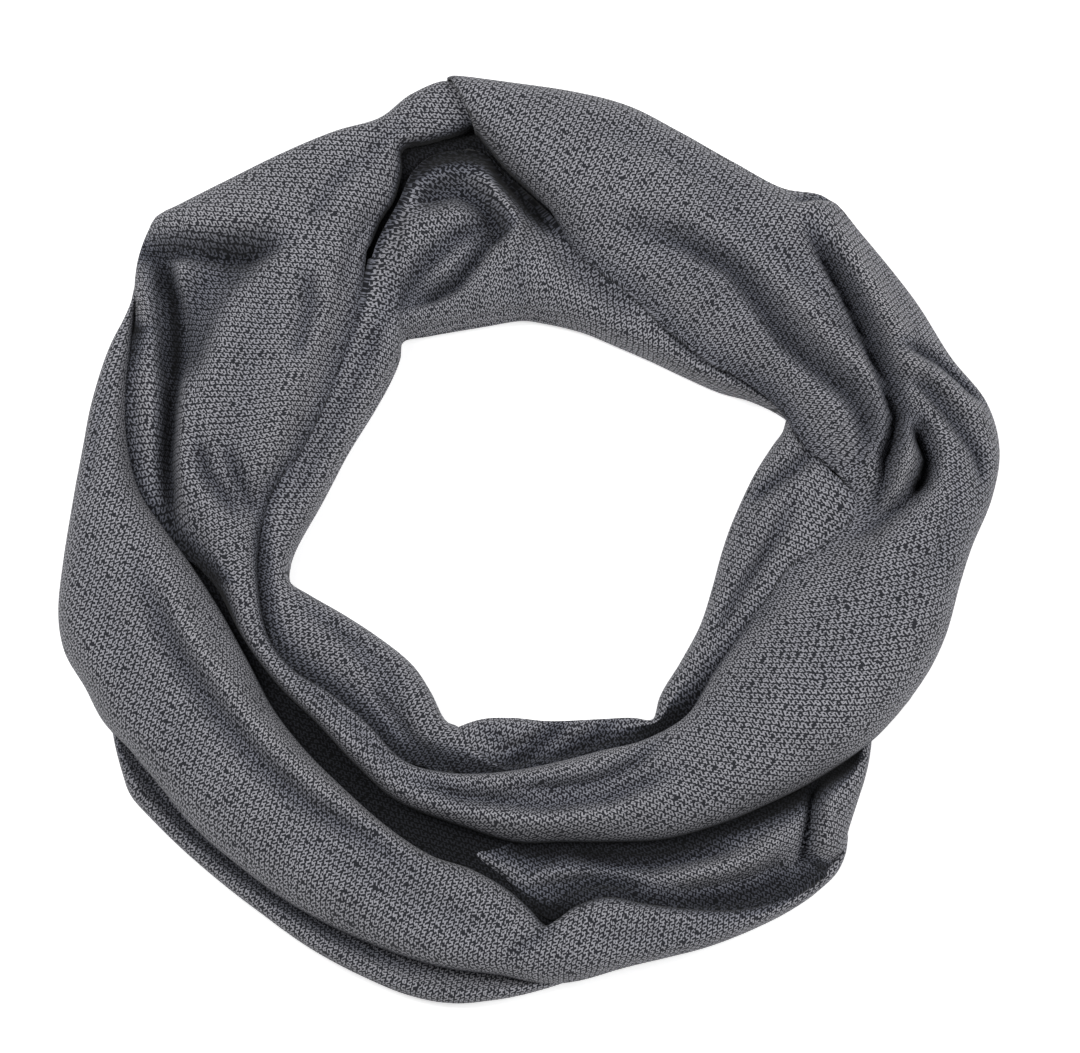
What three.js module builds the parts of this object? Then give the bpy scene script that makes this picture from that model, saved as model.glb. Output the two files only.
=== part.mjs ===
// An infinity scarf: one endless band of jacquard jersey, wound twice into a ring and laid flat.
// Millimetres, +Z up, X to the right of the ring and Y away from the near side, floor at zero.
import * as THREE from "three";

// Driving sizes
const CLOTH_WALL = 2.0;
const THINNEST_WALL = 1.0;
const NARROW_SHARE = 0.2;
const SEAM_CLEARANCE = 0.4;
const HIDDEN_LAYERS_TOP = 10;
const ROLL_SQUARENESS = 2.7;
const TUCK_LENGTH = 8;
const TUCK_CORNER = 3.2;
const TUCK_CORNER_SHARE = 0.42;
// Points of the rounded corner at the floor, as shares of its size: inwards, then up
const CORNER_POINTS = [[0.95, 0], [0.28, 0.3]];
const EXTRA_CUTS = [0.25, 0.5, 0.75];
// A fold's depth grows this much faster than the section rises, up to its full depth
const FOLD_ONSET = 1.6;
// Shares of a fold's line over which it grows from nothing to its full depth
const FOLD_END_FADE = [-0.08, 0.22];
const ARCH_STEPS = 14;
const TUCK_SHARE_OF_WIDTH = 0.34;
const LIP_CREST_SHARE = 0.7;
const FLOOR_FOOT = 0.01;

const CLOTH_COLOUR = 0x696a6e;
const HIDDEN_COLOUR = 0x47484c;
const CLOTH_ROUGHNESS = 0.92;

// The tables give places as they are seen from the near side, this far off straight down and from
// this far away. Laid out on the floor, the far side lies a little further off and wider.
const LEAN = THREE.MathUtils.degToRad(8);
const EYE_DISTANCE = 1500;
const MIDDLE_X = 0.5;
const MIDDLE_Y = 2.6;

function onFloor(x, y) {
  const spread = 1 + (y * Math.sin(LEAN)) / EYE_DISTANCE;
  return [x * spread - MIDDLE_X, (y * spread) / Math.cos(LEAN) - MIDDLE_Y];
}

// Each stretch of cloth that shows is a wall carried over sections. A section runs from a point
// on its hole side to a point on its rim side. The foot is the height at which that edge ends,
// zero where it rolls under on the floor. Slide is zero for an edge that rolls down, one for an
// edge that runs on flat below its neighbour and two for one that lies low before it rises.
const PLACE_COLUMNS = ["holeX", "holeY", "rimX", "rimY"];
const SECTION_COLUMNS = [...PLACE_COLUMNS, "crest", "holeFoot", "rimFoot", "holeSlide", "rimSlide"];

// From the fold at the top, round the gathered right turn, over the crossing to the near side
const UPPER_RIGHT_SECTIONS = [
  [-20.5, 153.5, -31.5, 175.5, 26, 10.3, 0, 0, 0],
  [-17, 149, -25, 175, 28, 10.3, 0, 0, 0],
  [-9, 139, -6, 172.5, 31, 10.3, 0, 0, 0],
  [0, 130, 17, 169, 34, 10.3, 0, 0, 0],
  [8, 122, 37, 164, 36, 10.3, 0, 0, 0],
  [20, 105.5, 57, 154, 38, 10.3, 0, 0, 0],
  [38, 95, 78, 142, 39, 10.3, 0, 0, 0],
  [54, 80, 97, 132, 40, 10.3, 0, 0, 0],
  [71, 67, 113.5, 129, 41, 10.3, 0, 0, 0],
  [87, 57.5, 127, 114, 42, 10.3, 0, 0, 0],
  [97, 47, 147, 89, 42, 10.3, 0, 0, 0],
  [103.5, 37.5, 161, 67, 42, 10.3, 0, 0, 0],
  [111, 30, 174, 51, 41, 10.3, 0, 0, 0],
  [120, 23, 179, 33, 41, 10.3, 0, 0, 0],
  [126, 13, 176, 14, 42, 10.3, 0, 0, 0],
  [124, 3, 168.5, -4, 44, 10.3, 0, 0, 0],
  [114, -6, 164, -18, 45, 10.3, 0, 0, 0],
  [104, -12.5, 158.5, -38, 44, 10.3, 0, 0, 0],
  [92, -25, 149, -56, 43, 10.3, 0, 0, 0],
  [81, -38, 131, -77, 41, 10.3, 10.3, 0, 0],
  [70, -52, 108, -93, 39, 10.3, 10.3, 0, 0],
  [59, -68, 90, -102, 36, 10.3, 10.3, 0, 0],
  [43, -77, 73, -109, 33, 10.3, 10.3, 0, 0],
  [27, -81, 51, -115, 31, 10.3, 10.3, 0, 0],
  [12, -85, 29, -116, 30, 10.3, 10.3, 0, 0],
  [-3, -88, 12, -116, 29, 10.3, 10.3, 0, 0],
  [-17, -89.5, -5, -116, 28, 10.3, 10.3, 0, 0],
  [-31, -89, -22, -112.5, 27, 10.3, 10.3, 0, 0],
];

// The same strand carried on from the near side, as the middle ridge, the wide panel and the flap
const UPPER_LEFT_SECTIONS = [
  [-31.6, -89.2, -22.6, -112.7, 27, 10.3, 10.3, 0, 0],
  [-36, -87.8, -32, -110, 26.5, 10.3, 10.3, 0, 0],
  [-48, -84, -51, -105, 25, 10.3, 10.3, 0, 0],
  [-61, -70.5, -66, -92, 25, 10.3, 10.3, 0, 0],
  [-76, -58.5, -84, -71, 24, 10.3, 10.3, 0, 0],
  [-88, -51, -96, -59, 22, 10.3, 10.3, 0, 0],
  [-97.5, -39.5, -108, -39.5, 22, 10.3, 10.3, 0, 0],
  [-102, -20, -118, -18, 24, 10.3, 13, 0, 0.5],
  [-102.5, -1, -130, -4, 27, 10.3, 14, 0, 1],
  [-98, 17, -138, 6.5, 29, 10.3, 15, 0, 1],
  [-89, 29, -144.5, 15, 31, 10.3, 16, 0, 1],
  [-78, 50, -149.5, 35, 33, 10.3, 17, 0, 1],
  [-72, 66, -151, 53, 34, 10.3, 17, 0, 1],
  [-65, 86, -149.2, 75, 34, 10.3, 14, 0, 0.6],
  [-61, 107, -150.5, 94, 33, 10.3, 0, 0, 0],
  [-56, 119, -144, 119, 31, 10.3, 0, 0, 0],
  [-51, 126, -129, 129, 29, 10.3, 0, 0, 0],
  [-48, 138, -102, 142, 27, 10.3, 0, 0, 0],
  [-47, 147, -76, 153, 25, 10.3, 0, 0, 0],
  [-38, 149, -58, 159, 23, 10.3, 0, 0, 0],
  [-28, 151.7, -45, 169, 21, 10.3, 0, 0, 0],
  [-22.8, 155.8, -33, 172.6, 20, 10.3, 4, 0, 0],
  [-18.9, 159.3, -25.9, 172, 19, 10.3, 4, 0, 0],
];

// The other strand, from a point at the left, wide over the lower left, to a point at the right
const OUTER_LEFT_SECTIONS = [
  [-149.5, 83, -154.5, 81.5, 14, 6, 0, 0, 0],
  [-150, 75, -157.5, 76.5, 20, 9, 0, 0, 0],
  [-151.8, 53, -166, 52, 27, 10.3, 0, 0, 0],
  [-151.3, 35, -170, 31, 31, 10.3, 0, 0, 0],
  [-146.3, 16, -174, 9, 34, 10.3, 0, 0, 0],
  [-138, 3.5, -177, -9, 36, 10.3, 0, 0, 0],
  [-128, -10, -179, -29, 38, 10.3, 0, 0, 0],
  [-117, -27, -177, -43, 39, 10.3, 0, 0, 0],
  [-106.5, -46, -169, -57, 40, 10.3, 0, 0, 0],
  [-96.5, -65, -162, -70, 40, 10.3, 0, 0, 0],
  [-85, -80, -151.5, -81, 40, 10.3, 7.4, 0, 0],
  [-70, -95, -140, -95, 39, 10.3, 7.4, 0, 0],
  [-53, -110, -127, -110.5, 38, 10.3, 7.4, 0, 0],
  [-36, -121, -109.5, -125.5, 36, 10.3, 7.4, 0, 0],
  [-21, -126, -91, -139, 33, 10.3, 7.4, 0, 0],
  [-7, -134, -70.5, -150, 30, 10.3, 7.4, 0, 0],
  [1, -141, -51, -158, 28, 10.3, 7.4, 0, 0],
  [7, -147, -32, -176, 26, 10.3, 0, 0, 0],
  [12, -144, -11, -174.5, 25, 10.3, 0, 0, 0],
  [21, -138, 12, -170, 24, 10.3, 0, 0, 0],
  [31, -136, 35, -164, 23, 10.3, 0, 0, 0],
  [44, -138.5, 52, -160, 22, 10.3, 0, 0, 0],
  [62, -140.5, 67, -156, 20, 10.3, 0, 0, 0],
  [80, -140.5, 84, -149.5, 18, 10.3, 0, 0, 0],
  [95, -136.6, 99.5, -141.8, 15, 9, 0, 0, 0],
  [107, -128.6, 110.5, -134.2, 13, 6, 0, 0, 0],
  [114, -124.1, 117.5, -127.5, 11, 4, 0, 0, 0],
];

// The hole side of the first strand: top, arch, left and lower left
const INNER_SECTIONS = [
  [84, 53, 82, 58.6, 12, 0, 11, 0, 1],
  [73, 56, 69, 64.5, 17, 0, 14, 0, 1],
  [59, 62, 56, 73, 20, 0, 15, 0, 1],
  [47, 67.5, 46, 84, 22, 0, 16, 0, 1],
  [34, 73, 30, 95, 23, 0, 16, 0, 1],
  [19, 79, 14, 110.5, 24, 0, 16, 0, 1],
  [6, 82, 4, 121.5, 25, 0, 16, 0, 1],
  [-4, 83, -10, 134.5, 26, 0, 16, 0, 1],
  [-16, 81, -17, 142.5, 27, 0, 14, 0, 1],
  [-28, 79, -28, 143.5, 27, 0, 12.3, 0, 1],
  [-39, 77, -38, 141, 26, 0, 12.3, 0, 1],
  [-48, 75, -45, 134, 25, 0, 14, 0, 1],
  [-49, 69, -49, 124.5, 24, 0, 15, 0, 1],
  [-52.5, 60, -57.5, 107, 23, 0, 16, 0, 1],
  [-58, 50, -62.5, 86, 22, 0, 16, 0, 1],
  [-69, 32, -75, 54, 20, 0, 16, 0, 1],
  [-79, 13, -92, 23, 19, 0, 15, 0, 1],
  [-88, -3, -99.5, 9, 18, 0, 15, 0, 1],
  [-90.5, -10, -101, -9, 18, 0, 15, 0, 1],
  [-90.5, -16, -99.5, -24, 18, 0, 15, 0, 1],
  [-83, -21, -95.5, -38, 19, 0, 15, 0, 1],
  [-70, -28.5, -86, -49.5, 21, 0, 15, 0, 1],
  [-57, -37, -74.5, -57, 22, 0, 15, 0, 1],
  [-44, -47.5, -59.5, -69, 22, 0, 15, 0, 1],
  [-37, -58, -46.5, -82, 20, 0, 14, 0, 1],
  [-31, -69, -33, -85, 18, 0, 14, 0, 1],
  [-26.8, -70, -26.8, -85.6, 17, 0, 14, 0, 1],
];

// The hole side at the right, down to the gathers that close the near side of the hole
const RIGHT_INNER_SECTIONS = [
  [95, 40.5, 101, 36.5, 14, 0, 12, 0, 1],
  [92.5, 36.5, 110, 26, 20, 0, 14, 0, 1],
  [85, 24, 120.5, 13.5, 24, 0, 15, 0, 1],
  [78, 9, 119.5, 2.5, 25, 0, 15, 0, 1],
  [73, -5, 102.5, -10.5, 24, 0, 15, 0, 1],
  [69.5, -18, 91, -23, 23, 0, 15, 0, 1],
  [65, -32, 80, -36, 21, 0, 12.3, 0, 1],
  [57, -47, 68, -51, 18, 0, 12.1, 0, 1],
  [49.5, -59.5, 58, -65.5, 16, 0, 13, 0, 1],
  [46.5, -68.3, 50, -72, 13, 0, 11, 0, 1],
  [40, -67.5, 41.5, -76, 15, 0, 13, 0, 1],
  [27, -68, 26.5, -79.5, 18, 0, 14, 0, 1],
  [7, -68.8, 11, -83.5, 20, 0, 15, 0, 1],
  [-7, -67.5, -4, -86.3, 20, 0, 15, 0, 1],
  [-17, -67.8, -14, -87.2, 19, 0, 15, 0, 1],
  [-26.1, -69.4, -26, -86.4, 18, 0, 14, 0, 1],
];

// The lower layer that shows in the pocket below the crossing
const BOTTOM_RIGHT_SECTIONS = [
  [123, -84.5, 130, -83.5, 13, 11, 0, 1, 0],
  [118.5, -88, 128.8, -89.5, 19, 12.2, 0, 1, 0],
  [107.5, -95.5, 126, -98.5, 23, 12.2, 0, 1, 0],
  [99, -100.5, 122.3, -110, 25, 12.2, 0, 1, 0],
  [91, -104, 119.3, -120, 24, 12.2, 0, 1, 0],
  [82, -107.7, 109, -126.3, 22, 12.2, 14, 1, 1],
  [73, -111, 94, -135.6, 20, 12.2, 14, 1, 1],
  [61, -114.5, 78, -138.7, 19, 12.2, 14, 1, 1],
  [51, -117.5, 62, -138.7, 18, 12.2, 14, 1, 1],
  [38, -118.5, 44, -136.8, 18, 12.2, 14, 1, 1],
  [27, -118.5, 31, -134, 18, 12.2, 14, 1, 1],
  [14, -118, 20, -135.8, 18, 12.2, 14, 1, 1],
  [2, -118, 10, -142, 18, 12.2, 14, 1, 1],
  [-11, -117.5, 2, -139.5, 17, 12.2, 14, 1, 1],
  [-25, -114, -8.5, -131, 16, 12.2, 14, 1, 1],
  [-38, -110.5, -23, -123, 15, 13, 13, 1, 1],
];

// The lip of the lowest layer, past the wide lower-left stretch
const UNDER_LAYER_SECTIONS = [
  [-150.5, -78.5, -158, -81.5, 9, 3, 0, 2, 0],
  [-141.5, -85.5, -155.5, -90.5, 11.5, 4, 0, 2, 0],
  [-132, -98.5, -146.5, -102, 11.6, 3.6, 0, 2, 0],
  [-120, -107.8, -132, -115, 11, 3.2, 0, 2, 0],
  [-103.5, -122.5, -111.7, -133.2, 10.8, 3.2, 0, 2, 0],
  [-86.5, -134.5, -95.5, -146.3, 12, 4, 0, 2, 0],
  [-68.5, -145.5, -75, -159.3, 12.5, 4, 0, 2, 0],
  [-50, -155.5, -55, -168.8, 12.5, 4, 0, 2, 0],
  [-45, -165.4, -40.8, -174.6, 10, 4, 0, 2, 0],
];

// The layers that are out of sight, by direction from the middle of the ring
const HIDDEN_COLUMNS = ["degrees", "holeRadius", "rimRadius"];
const HIDDEN_SECTIONS = [
  [0, 86, 158],
  [12, 97, 168],
  [20, 109, 167],
  [26, 111, 163],
  [33, 104, 159],
  [40, 98, 157],
  [48, 94, 157],
  [60, 92, 149],
  [75, 92, 154],
  [90, 94, 158],
  [105, 95, 160],
  [121, 101, 158],
  [135, 91, 166],
  [142, 88, 172],
  [152, 86, 163],
  [165, 89, 162],
  [180, 95, 163],
  [190, 98, 167],
  [198, 93, 164],
  [210, 80, 157],
  [225, 75, 154],
  [240, 83, 152],
  [248, 86, 151],
  [255, 82, 151],
  [270, 78, 157],
  [285, 80, 157],
  [300, 88, 163],
  [307, 86, 163],
  [314, 83, 158],
  [322, 81, 151],
  [330, 82, 143],
  [345, 83, 149],
];
// Half of a section of the hidden layers: two rolled edges, one above the other
const HIDDEN_EDGE_COLUMNS = ["inset", "height"];
const HIDDEN_EDGE = [
  [1.6, 0],
  [0, 1.8],
  [0.2, 3.8],
  [2.4, 5.2],
  [4.0, 6.2],
  [4.6, 8.2],
  [8, 10],
];

// Folds: depth is below zero for a crease and above zero for a ridge. Half is the distance from
// its line at which about half of the depth is left. The line is seen from above.
const UPPER_RIGHT_FOLDS = [
  { depth: -5, half: 7, line: [[47, 115], [70, 105], [84, 93], [98, 82], [106, 70], [119, 54], [127, 45]] },
  { depth: -9, half: 6, line: [[102, 115], [111, 101], [119, 87], [125, 72], [132, 57], [137, 44], [136, 37]] },
  { depth: -4, half: 5, line: [[139, 70], [149, 64], [158, 56], [168, 50]] },
  { depth: -7, half: 5, line: [[147, 36], [149, 28], [147, 20], [142, 15], [135, 10], [129, 4]] },
  { depth: -4, half: 6, line: [[-27, -98], [5, -101], [30, -98], [55, -88]] },
];
const UPPER_LEFT_FOLDS = [
  { depth: -10, half: 6, line: [[-138, 112], [-134, 104], [-135, 78], [-136, 53], [-135, 26], [-134, 9]] },
  { depth: -7, half: 8, line: [[-145, 109], [-125, 109], [-100, 110], [-87, 119]] },
  { depth: 3, half: 6, line: [[-142, 123], [-117, 125], [-83, 125]] },
  { depth: -6, half: 10, line: [[-114, 105], [-125, 83], [-133, 56]] },
  { depth: -3, half: 6, line: [[-83, 101], [-84, 78], [-89, 56]] },
];
const OUTER_LEFT_FOLDS = [
  { depth: 3, half: 9, line: [[-143, -14], [-129, -44], [-114, -65], [-99, -85], [-84, -100], [-49, -126]] },
  { depth: -4, half: 6, line: [[-51, -158], [-36, -162], [-19, -164], [-3, -166]] },
];
const INNER_FOLDS = [
  { depth: 4, half: 6, line: [[-47, 128], [-38, 136], [-27, 139], [-15, 136], [-9, 126], [-8, 115]] },
  { depth: -7, half: 9, line: [[-24, 128], [-16, 121], [-11, 111]] },
  { depth: -5, half: 6, line: [[-8, 115], [-15, 109], [-26, 95], [-44, 89]] },
];
const RIGHT_INNER_FOLDS = [
  { depth: -4, half: 5, line: [[107, 32], [99, 28], [90, 19]] },
  { depth: -3, half: 5, line: [[88, -9], [78, -24], [70, -39]] },
];
const BOTTOM_RIGHT_FOLDS = [
  { depth: -6, half: 6, line: [[107, -93], [107, -104], [105, -114], [101, -126]] },
  { depth: -4, half: 6, line: [[71, -132], [84, -135], [94, -134], [101, -124]] },
];

const named = (columns, rows) => rows.map((row) => Object.fromEntries(columns.map((key, i) => [key, row[i]])));

// Nearest place of a fold's line: how far off it is and how far along
function placeOnLine(line, x, y) {
  let travelled = 0;
  let best = { away: Infinity, along: 0 };
  for (let i = 0; i + 1 < line.length; i += 1) {
    const [ax, ay] = line[i];
    const dx = line[i + 1][0] - ax;
    const dy = line[i + 1][1] - ay;
    const length = Math.hypot(dx, dy);
    const share = THREE.MathUtils.clamp(((x - ax) * dx + (y - ay) * dy) / (length * length), 0, 1);
    const away = Math.hypot(x - ax - share * dx, y - ay - share * dy);
    if (away < best.away) {
      best = { away, along: travelled + share * length };
    }
    travelled += length;
  }
  return { away: best.away, share: best.along / travelled };
}

// The lift of all folds at one place, each fading out at its ends
function foldLift(folds, x, y) {
  let lift = 0;
  for (const fold of folds) {
    const { away, share } = placeOnLine(fold.line, x, y);
    const reach = away / (2 * fold.half);
    if (reach < 1) {
      const ends = THREE.MathUtils.smoothstep(Math.min(share, 1 - share), ...FOLD_END_FADE);
      lift += fold.depth * ends * (1 - reach * reach) ** 2;
    }
  }
  return lift;
}

const curvePoint = (across, height, fold) => ({ across, height, fold });

function between(a, b, share) {
  const mixed = (key) => THREE.MathUtils.lerp(a[key], b[key], share);
  return curvePoint(mixed("across"), mixed("height"), mixed("fold"));
}

// One edge of a section up to its crest, with distances counted from that edge. An edge that rests
// has a tuck on the floor; any other has the same number of points more on its first span.
function edgeCurve(width, reach, crest, foot, slide) {
  const { lerp } = THREE.MathUtils;
  const tuck = Math.min(TUCK_LENGTH, TUCK_SHARE_OF_WIDTH * width);
  const corner = Math.min(TUCK_CORNER, TUCK_CORNER_SHARE * tuck);
  const rests = foot < FLOOR_FOOT;
  const start = rests ? corner : foot;
  const power = 2 / ROLL_SQUARENESS;
  const flat = Math.min(slide, 1);
  const hollow = Math.max(slide - 1, 0);
  const curve = [];
  for (let i = 0; i < ARCH_STEPS / 2; i += 1) {
    const angle = (Math.PI * i) / ARCH_STEPS;
    const full = lerp(Math.sin(angle) ** power, Math.sin(angle), flat);
    const rise = lerp(full, 1 - Math.cos(angle), hollow);
    const across = reach * lerp(1 - Math.cos(angle) ** power, (2 * angle) / Math.PI, flat);
    curve.push(curvePoint(across, start + (crest - start) * rise, Math.min(1, FOLD_ONSET * rise)));
  }
  if (rests) {
    const rounded = CORNER_POINTS.map(([inwards, up]) => curvePoint(inwards * corner, up * corner, 0));
    return [curvePoint(tuck, 0, 0), ...rounded, ...curve];
  }
  const added = EXTRA_CUTS.map((share) => between(curve[0], curve[1], share));
  return [curve[0], ...added, ...curve.slice(1)];
}

// One section as points of distance across and height, from its hole side to its rim side
function sectionCurve(section, width, crestShare) {
  const { crest, holeFoot, rimFoot, holeSlide, rimSlide } = section;
  const holeSide = edgeCurve(width, width * crestShare, crest, holeFoot, holeSlide);
  const rimSide = edgeCurve(width, width * (1 - crestShare), crest, rimFoot, rimSlide);
  const mirrored = rimSide.map((point) => curvePoint(width - point.across, point.height, point.fold));
  return [...holeSide, curvePoint(width * crestShare, crest, 1), ...mirrored.reverse()];
}

// The closed ring of points of one section: the cloth's face, then its back
function sectionRing(section, folds, crestShare) {
  const [holeX, holeY] = onFloor(section.holeX, section.holeY);
  const [rimX, rimY] = onFloor(section.rimX, section.rimY);
  const dx = rimX - holeX;
  const dy = rimY - holeY;
  const full = Math.hypot(dx, dy);
  const width = full - 2 * SEAM_CLEARANCE;
  const wall = THREE.MathUtils.clamp(width * NARROW_SHARE, THINNEST_WALL, CLOTH_WALL);
  const place = (across) => {
    const share = (across + SEAM_CLEARANCE) / full;
    return [holeX + dx * share, holeY + dy * share];
  };
  const face = sectionCurve(section, width, crestShare).map((point) => {
    const [x, y] = place(point.across);
    return { across: point.across, height: point.height + point.fold * foldLift(folds, x, y) };
  });
  const back = face.map((point, i) => {
    const before = face[Math.max(0, i - 1)];
    const after = face[Math.min(face.length - 1, i + 1)];
    const run = after.across - before.across;
    const rise = after.height - before.height;
    const length = Math.hypot(run, rise);
    return { across: point.across + (wall * rise) / length, height: point.height - (wall * run) / length };
  });
  return [...face, ...back.reverse()].map((point) => new THREE.Vector3(...place(point.across), point.height));
}

// Rings joined into one closed body, with flat ends unless it closes on itself
function bodyFromRings(rings, closed) {
  const count = rings[0].length;
  const positions = rings.flat().flatMap((point) => [point.x, point.y, point.z]);
  const triangles = [];
  const spans = closed ? rings.length : rings.length - 1;
  for (let s = 0; s < spans; s += 1) {
    const here = s * count;
    const there = ((s + 1) % rings.length) * count;
    for (let i = 0; i < count; i += 1) {
      const next = (i + 1) % count;
      triangles.push(here + i, there + i, there + next, here + i, there + next, here + next);
    }
  }
  if (!closed) {
    const end = (rings.length - 1) * count;
    for (let i = 0; i + 1 < count / 2; i += 1) {
      const a = i;
      const b = i + 1;
      const c = count - 2 - i;
      const d = count - 1 - i;
      triangles.push(a, b, c, a, c, d);
      triangles.push(end + b, end + a, end + d, end + b, end + d, end + c);
    }
  }
  const geometry = new THREE.BufferGeometry();
  geometry.setAttribute("position", new THREE.Float32BufferAttribute(positions, 3));
  geometry.setIndex(signedVolume(positions, triangles) < 0 ? flipped(triangles) : triangles);
  geometry.computeVertexNormals();
  return geometry;
}

function signedVolume(positions, triangles) {
  const corner = (i) => new THREE.Vector3(positions[3 * i], positions[3 * i + 1], positions[3 * i + 2]);
  let sum = 0;
  for (let i = 0; i < triangles.length; i += 3) {
    const a = corner(triangles[i]);
    const b = corner(triangles[i + 1]);
    const c = corner(triangles[i + 2]);
    sum += a.dot(b.cross(c)) / 6;
  }
  return sum;
}

function flipped(triangles) {
  const out = [];
  for (let i = 0; i < triangles.length; i += 3) {
    out.push(triangles[i], triangles[i + 2], triangles[i + 1]);
  }
  return out;
}

function stretch(rows, folds, crestShare = 0.5) {
  const sections = named(SECTION_COLUMNS, rows);
  const laid = folds.map((fold) => ({ ...fold, line: fold.line.map(([x, y]) => onFloor(x, y)) }));
  return bodyFromRings(sections.map((section) => sectionRing(section, laid, crestShare)), false);
}

function hiddenLayers() {
  const edge = named(HIDDEN_EDGE_COLUMNS, HIDDEN_EDGE);
  const rings = named(HIDDEN_COLUMNS, HIDDEN_SECTIONS).map(({ degrees, holeRadius, rimRadius }) => {
    const angle = THREE.MathUtils.degToRad(degrees);
    const at = (radius, height) =>
      new THREE.Vector3(...onFloor(radius * Math.cos(angle), radius * Math.sin(angle)), height);
    const scale = HIDDEN_LAYERS_TOP / edge[edge.length - 1].height;
    const holeSide = edge.map(({ inset, height }) => at(holeRadius + inset, height * scale));
    const rimSide = edge.map(({ inset, height }) => at(rimRadius - inset, height * scale));
    return [...holeSide, ...rimSide.reverse()];
  });
  return bodyFromRings(rings, true);
}

function clothNode(name, geometry, colour) {
  const material = new THREE.MeshStandardMaterial({ color: colour, roughness: CLOTH_ROUGHNESS, metalness: 0 });
  const mesh = new THREE.Mesh(geometry, material);
  mesh.name = name;
  return mesh;
}

const scarf = new THREE.Group();
scarf.name = "infinity_scarf";
scarf.add(clothNode("upper_right_stretch", stretch(UPPER_RIGHT_SECTIONS, UPPER_RIGHT_FOLDS), CLOTH_COLOUR));
scarf.add(clothNode("upper_left_stretch", stretch(UPPER_LEFT_SECTIONS, UPPER_LEFT_FOLDS), CLOTH_COLOUR));
scarf.add(clothNode("outer_left_stretch", stretch(OUTER_LEFT_SECTIONS, OUTER_LEFT_FOLDS), CLOTH_COLOUR));
scarf.add(clothNode("inner_stretch", stretch(INNER_SECTIONS, INNER_FOLDS), CLOTH_COLOUR));
scarf.add(clothNode("right_inner_stretch", stretch(RIGHT_INNER_SECTIONS, RIGHT_INNER_FOLDS), CLOTH_COLOUR));
scarf.add(clothNode("bottom_right_stretch", stretch(BOTTOM_RIGHT_SECTIONS, BOTTOM_RIGHT_FOLDS), CLOTH_COLOUR));
scarf.add(clothNode("under_layer_lip", stretch(UNDER_LAYER_SECTIONS, [], LIP_CREST_SHARE), CLOTH_COLOUR));
scarf.add(clothNode("hidden_layers", hiddenLayers(), HIDDEN_COLOUR));

export default scarf;
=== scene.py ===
"""An infinity scarf in a two-tone fleck jersey, wound twice into a ring and laid flat."""

import math

import bpy
import numpy as np
from bpy.props import FloatProperty, FloatVectorProperty, PointerProperty
from bpy.types import Operator, Panel, PropertyGroup
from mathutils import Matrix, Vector


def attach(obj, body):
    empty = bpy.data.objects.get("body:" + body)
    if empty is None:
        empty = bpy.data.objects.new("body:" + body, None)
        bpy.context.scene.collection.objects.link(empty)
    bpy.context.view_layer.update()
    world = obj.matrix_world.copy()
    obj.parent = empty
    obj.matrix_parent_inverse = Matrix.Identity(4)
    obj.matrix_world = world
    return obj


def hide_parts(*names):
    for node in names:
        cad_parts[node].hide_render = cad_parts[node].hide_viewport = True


bl_info = {
    "name": "Infinity scarf",
    "version": (1, 0, 0),
    "blender": (4, 5, 0),
    "location": "View3D > Sidebar > Scarf",
    "description": "Builds a fleck jersey infinity scarf laid flat in a ring",
    "category": "Add Mesh",
}

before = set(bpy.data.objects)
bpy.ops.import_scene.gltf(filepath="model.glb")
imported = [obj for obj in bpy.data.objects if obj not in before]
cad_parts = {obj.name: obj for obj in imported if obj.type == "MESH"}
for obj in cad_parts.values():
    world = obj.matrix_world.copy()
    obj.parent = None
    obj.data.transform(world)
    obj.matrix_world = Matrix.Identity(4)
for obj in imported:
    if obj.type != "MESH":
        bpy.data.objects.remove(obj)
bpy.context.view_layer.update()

# The eye that the places below were read from: its lean, its distance, and the ring's middle
LEAN = math.radians(8)
EYE_DISTANCE = 1500.0
MIDDLE = (0.5, 2.6)
PER_METRE = 1000

# How finely the cloth is laid out, and over how many stations to each side its knit is evened out
STATION_STEP = 1.9
SHORTEST_STEP = 1.0
POINTS_PER_SIDE = 38
POINT_CROWDING = 1.35
EVENED_STATIONS = 8

# The section of a stretch, in millimetres or as a share of its width
SEAM_CLEARANCE = 0.4
ROLL_SQUARENESS = 2.7
LIP_CREST_SHARE = 0.7
OVERRUN = 3.5
END_ROUNDING = 3.0
FULL_DROP_HEIGHT = 8.0

# Feet: one lower than the first height turns in on the floor, and one lower than the second has
# grooves above it. The corner of a turned-in foot is given from its tip up, as shares of its size
RESTING_FOOT = 2.5
FLOOR_FOOT = 1.0
TUCK_LENGTH = 8.0
TUCK_SHARE_OF_WIDTH = 0.34
TUCK_CORNER = 3.2
TUCK_CORNER_SHARE = 0.42
CORNER_POINTS = [(0.95, 0.0), (0.55, 0.09), (0.28, 0.3), (0.09, 0.6)]
LEAD_IN = 0.9

# Folds: how far they reach in halves, how their ends fade, and how high up a side they begin
FOLD_END_FADE = (-0.08, 0.22)
SOFT_CREASE_HALVES = (3.0, 7.0)
ROUNDED_REACH = 2.0
SHARP_REACH = 2.8
FOLD_ONSET = 1.6
FOLD_CLEARANCE = 1.6

# Painted shade: the gloom painted into creases deeper than the first value, and a painted highlight on
# ridges
CREASE_GLOOM_FROM = 1.5
CREASE_GLOOM_DEPTH = 8.2
CREASE_GLOOM_REACH = 1.9
CREASE_GLOOM_POWER = 1.6
SOFT_CREASE_LIGHT = 0.5
RIDGE_LIGHT = 0.15
SHADE_ONSET = 1.5
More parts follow.
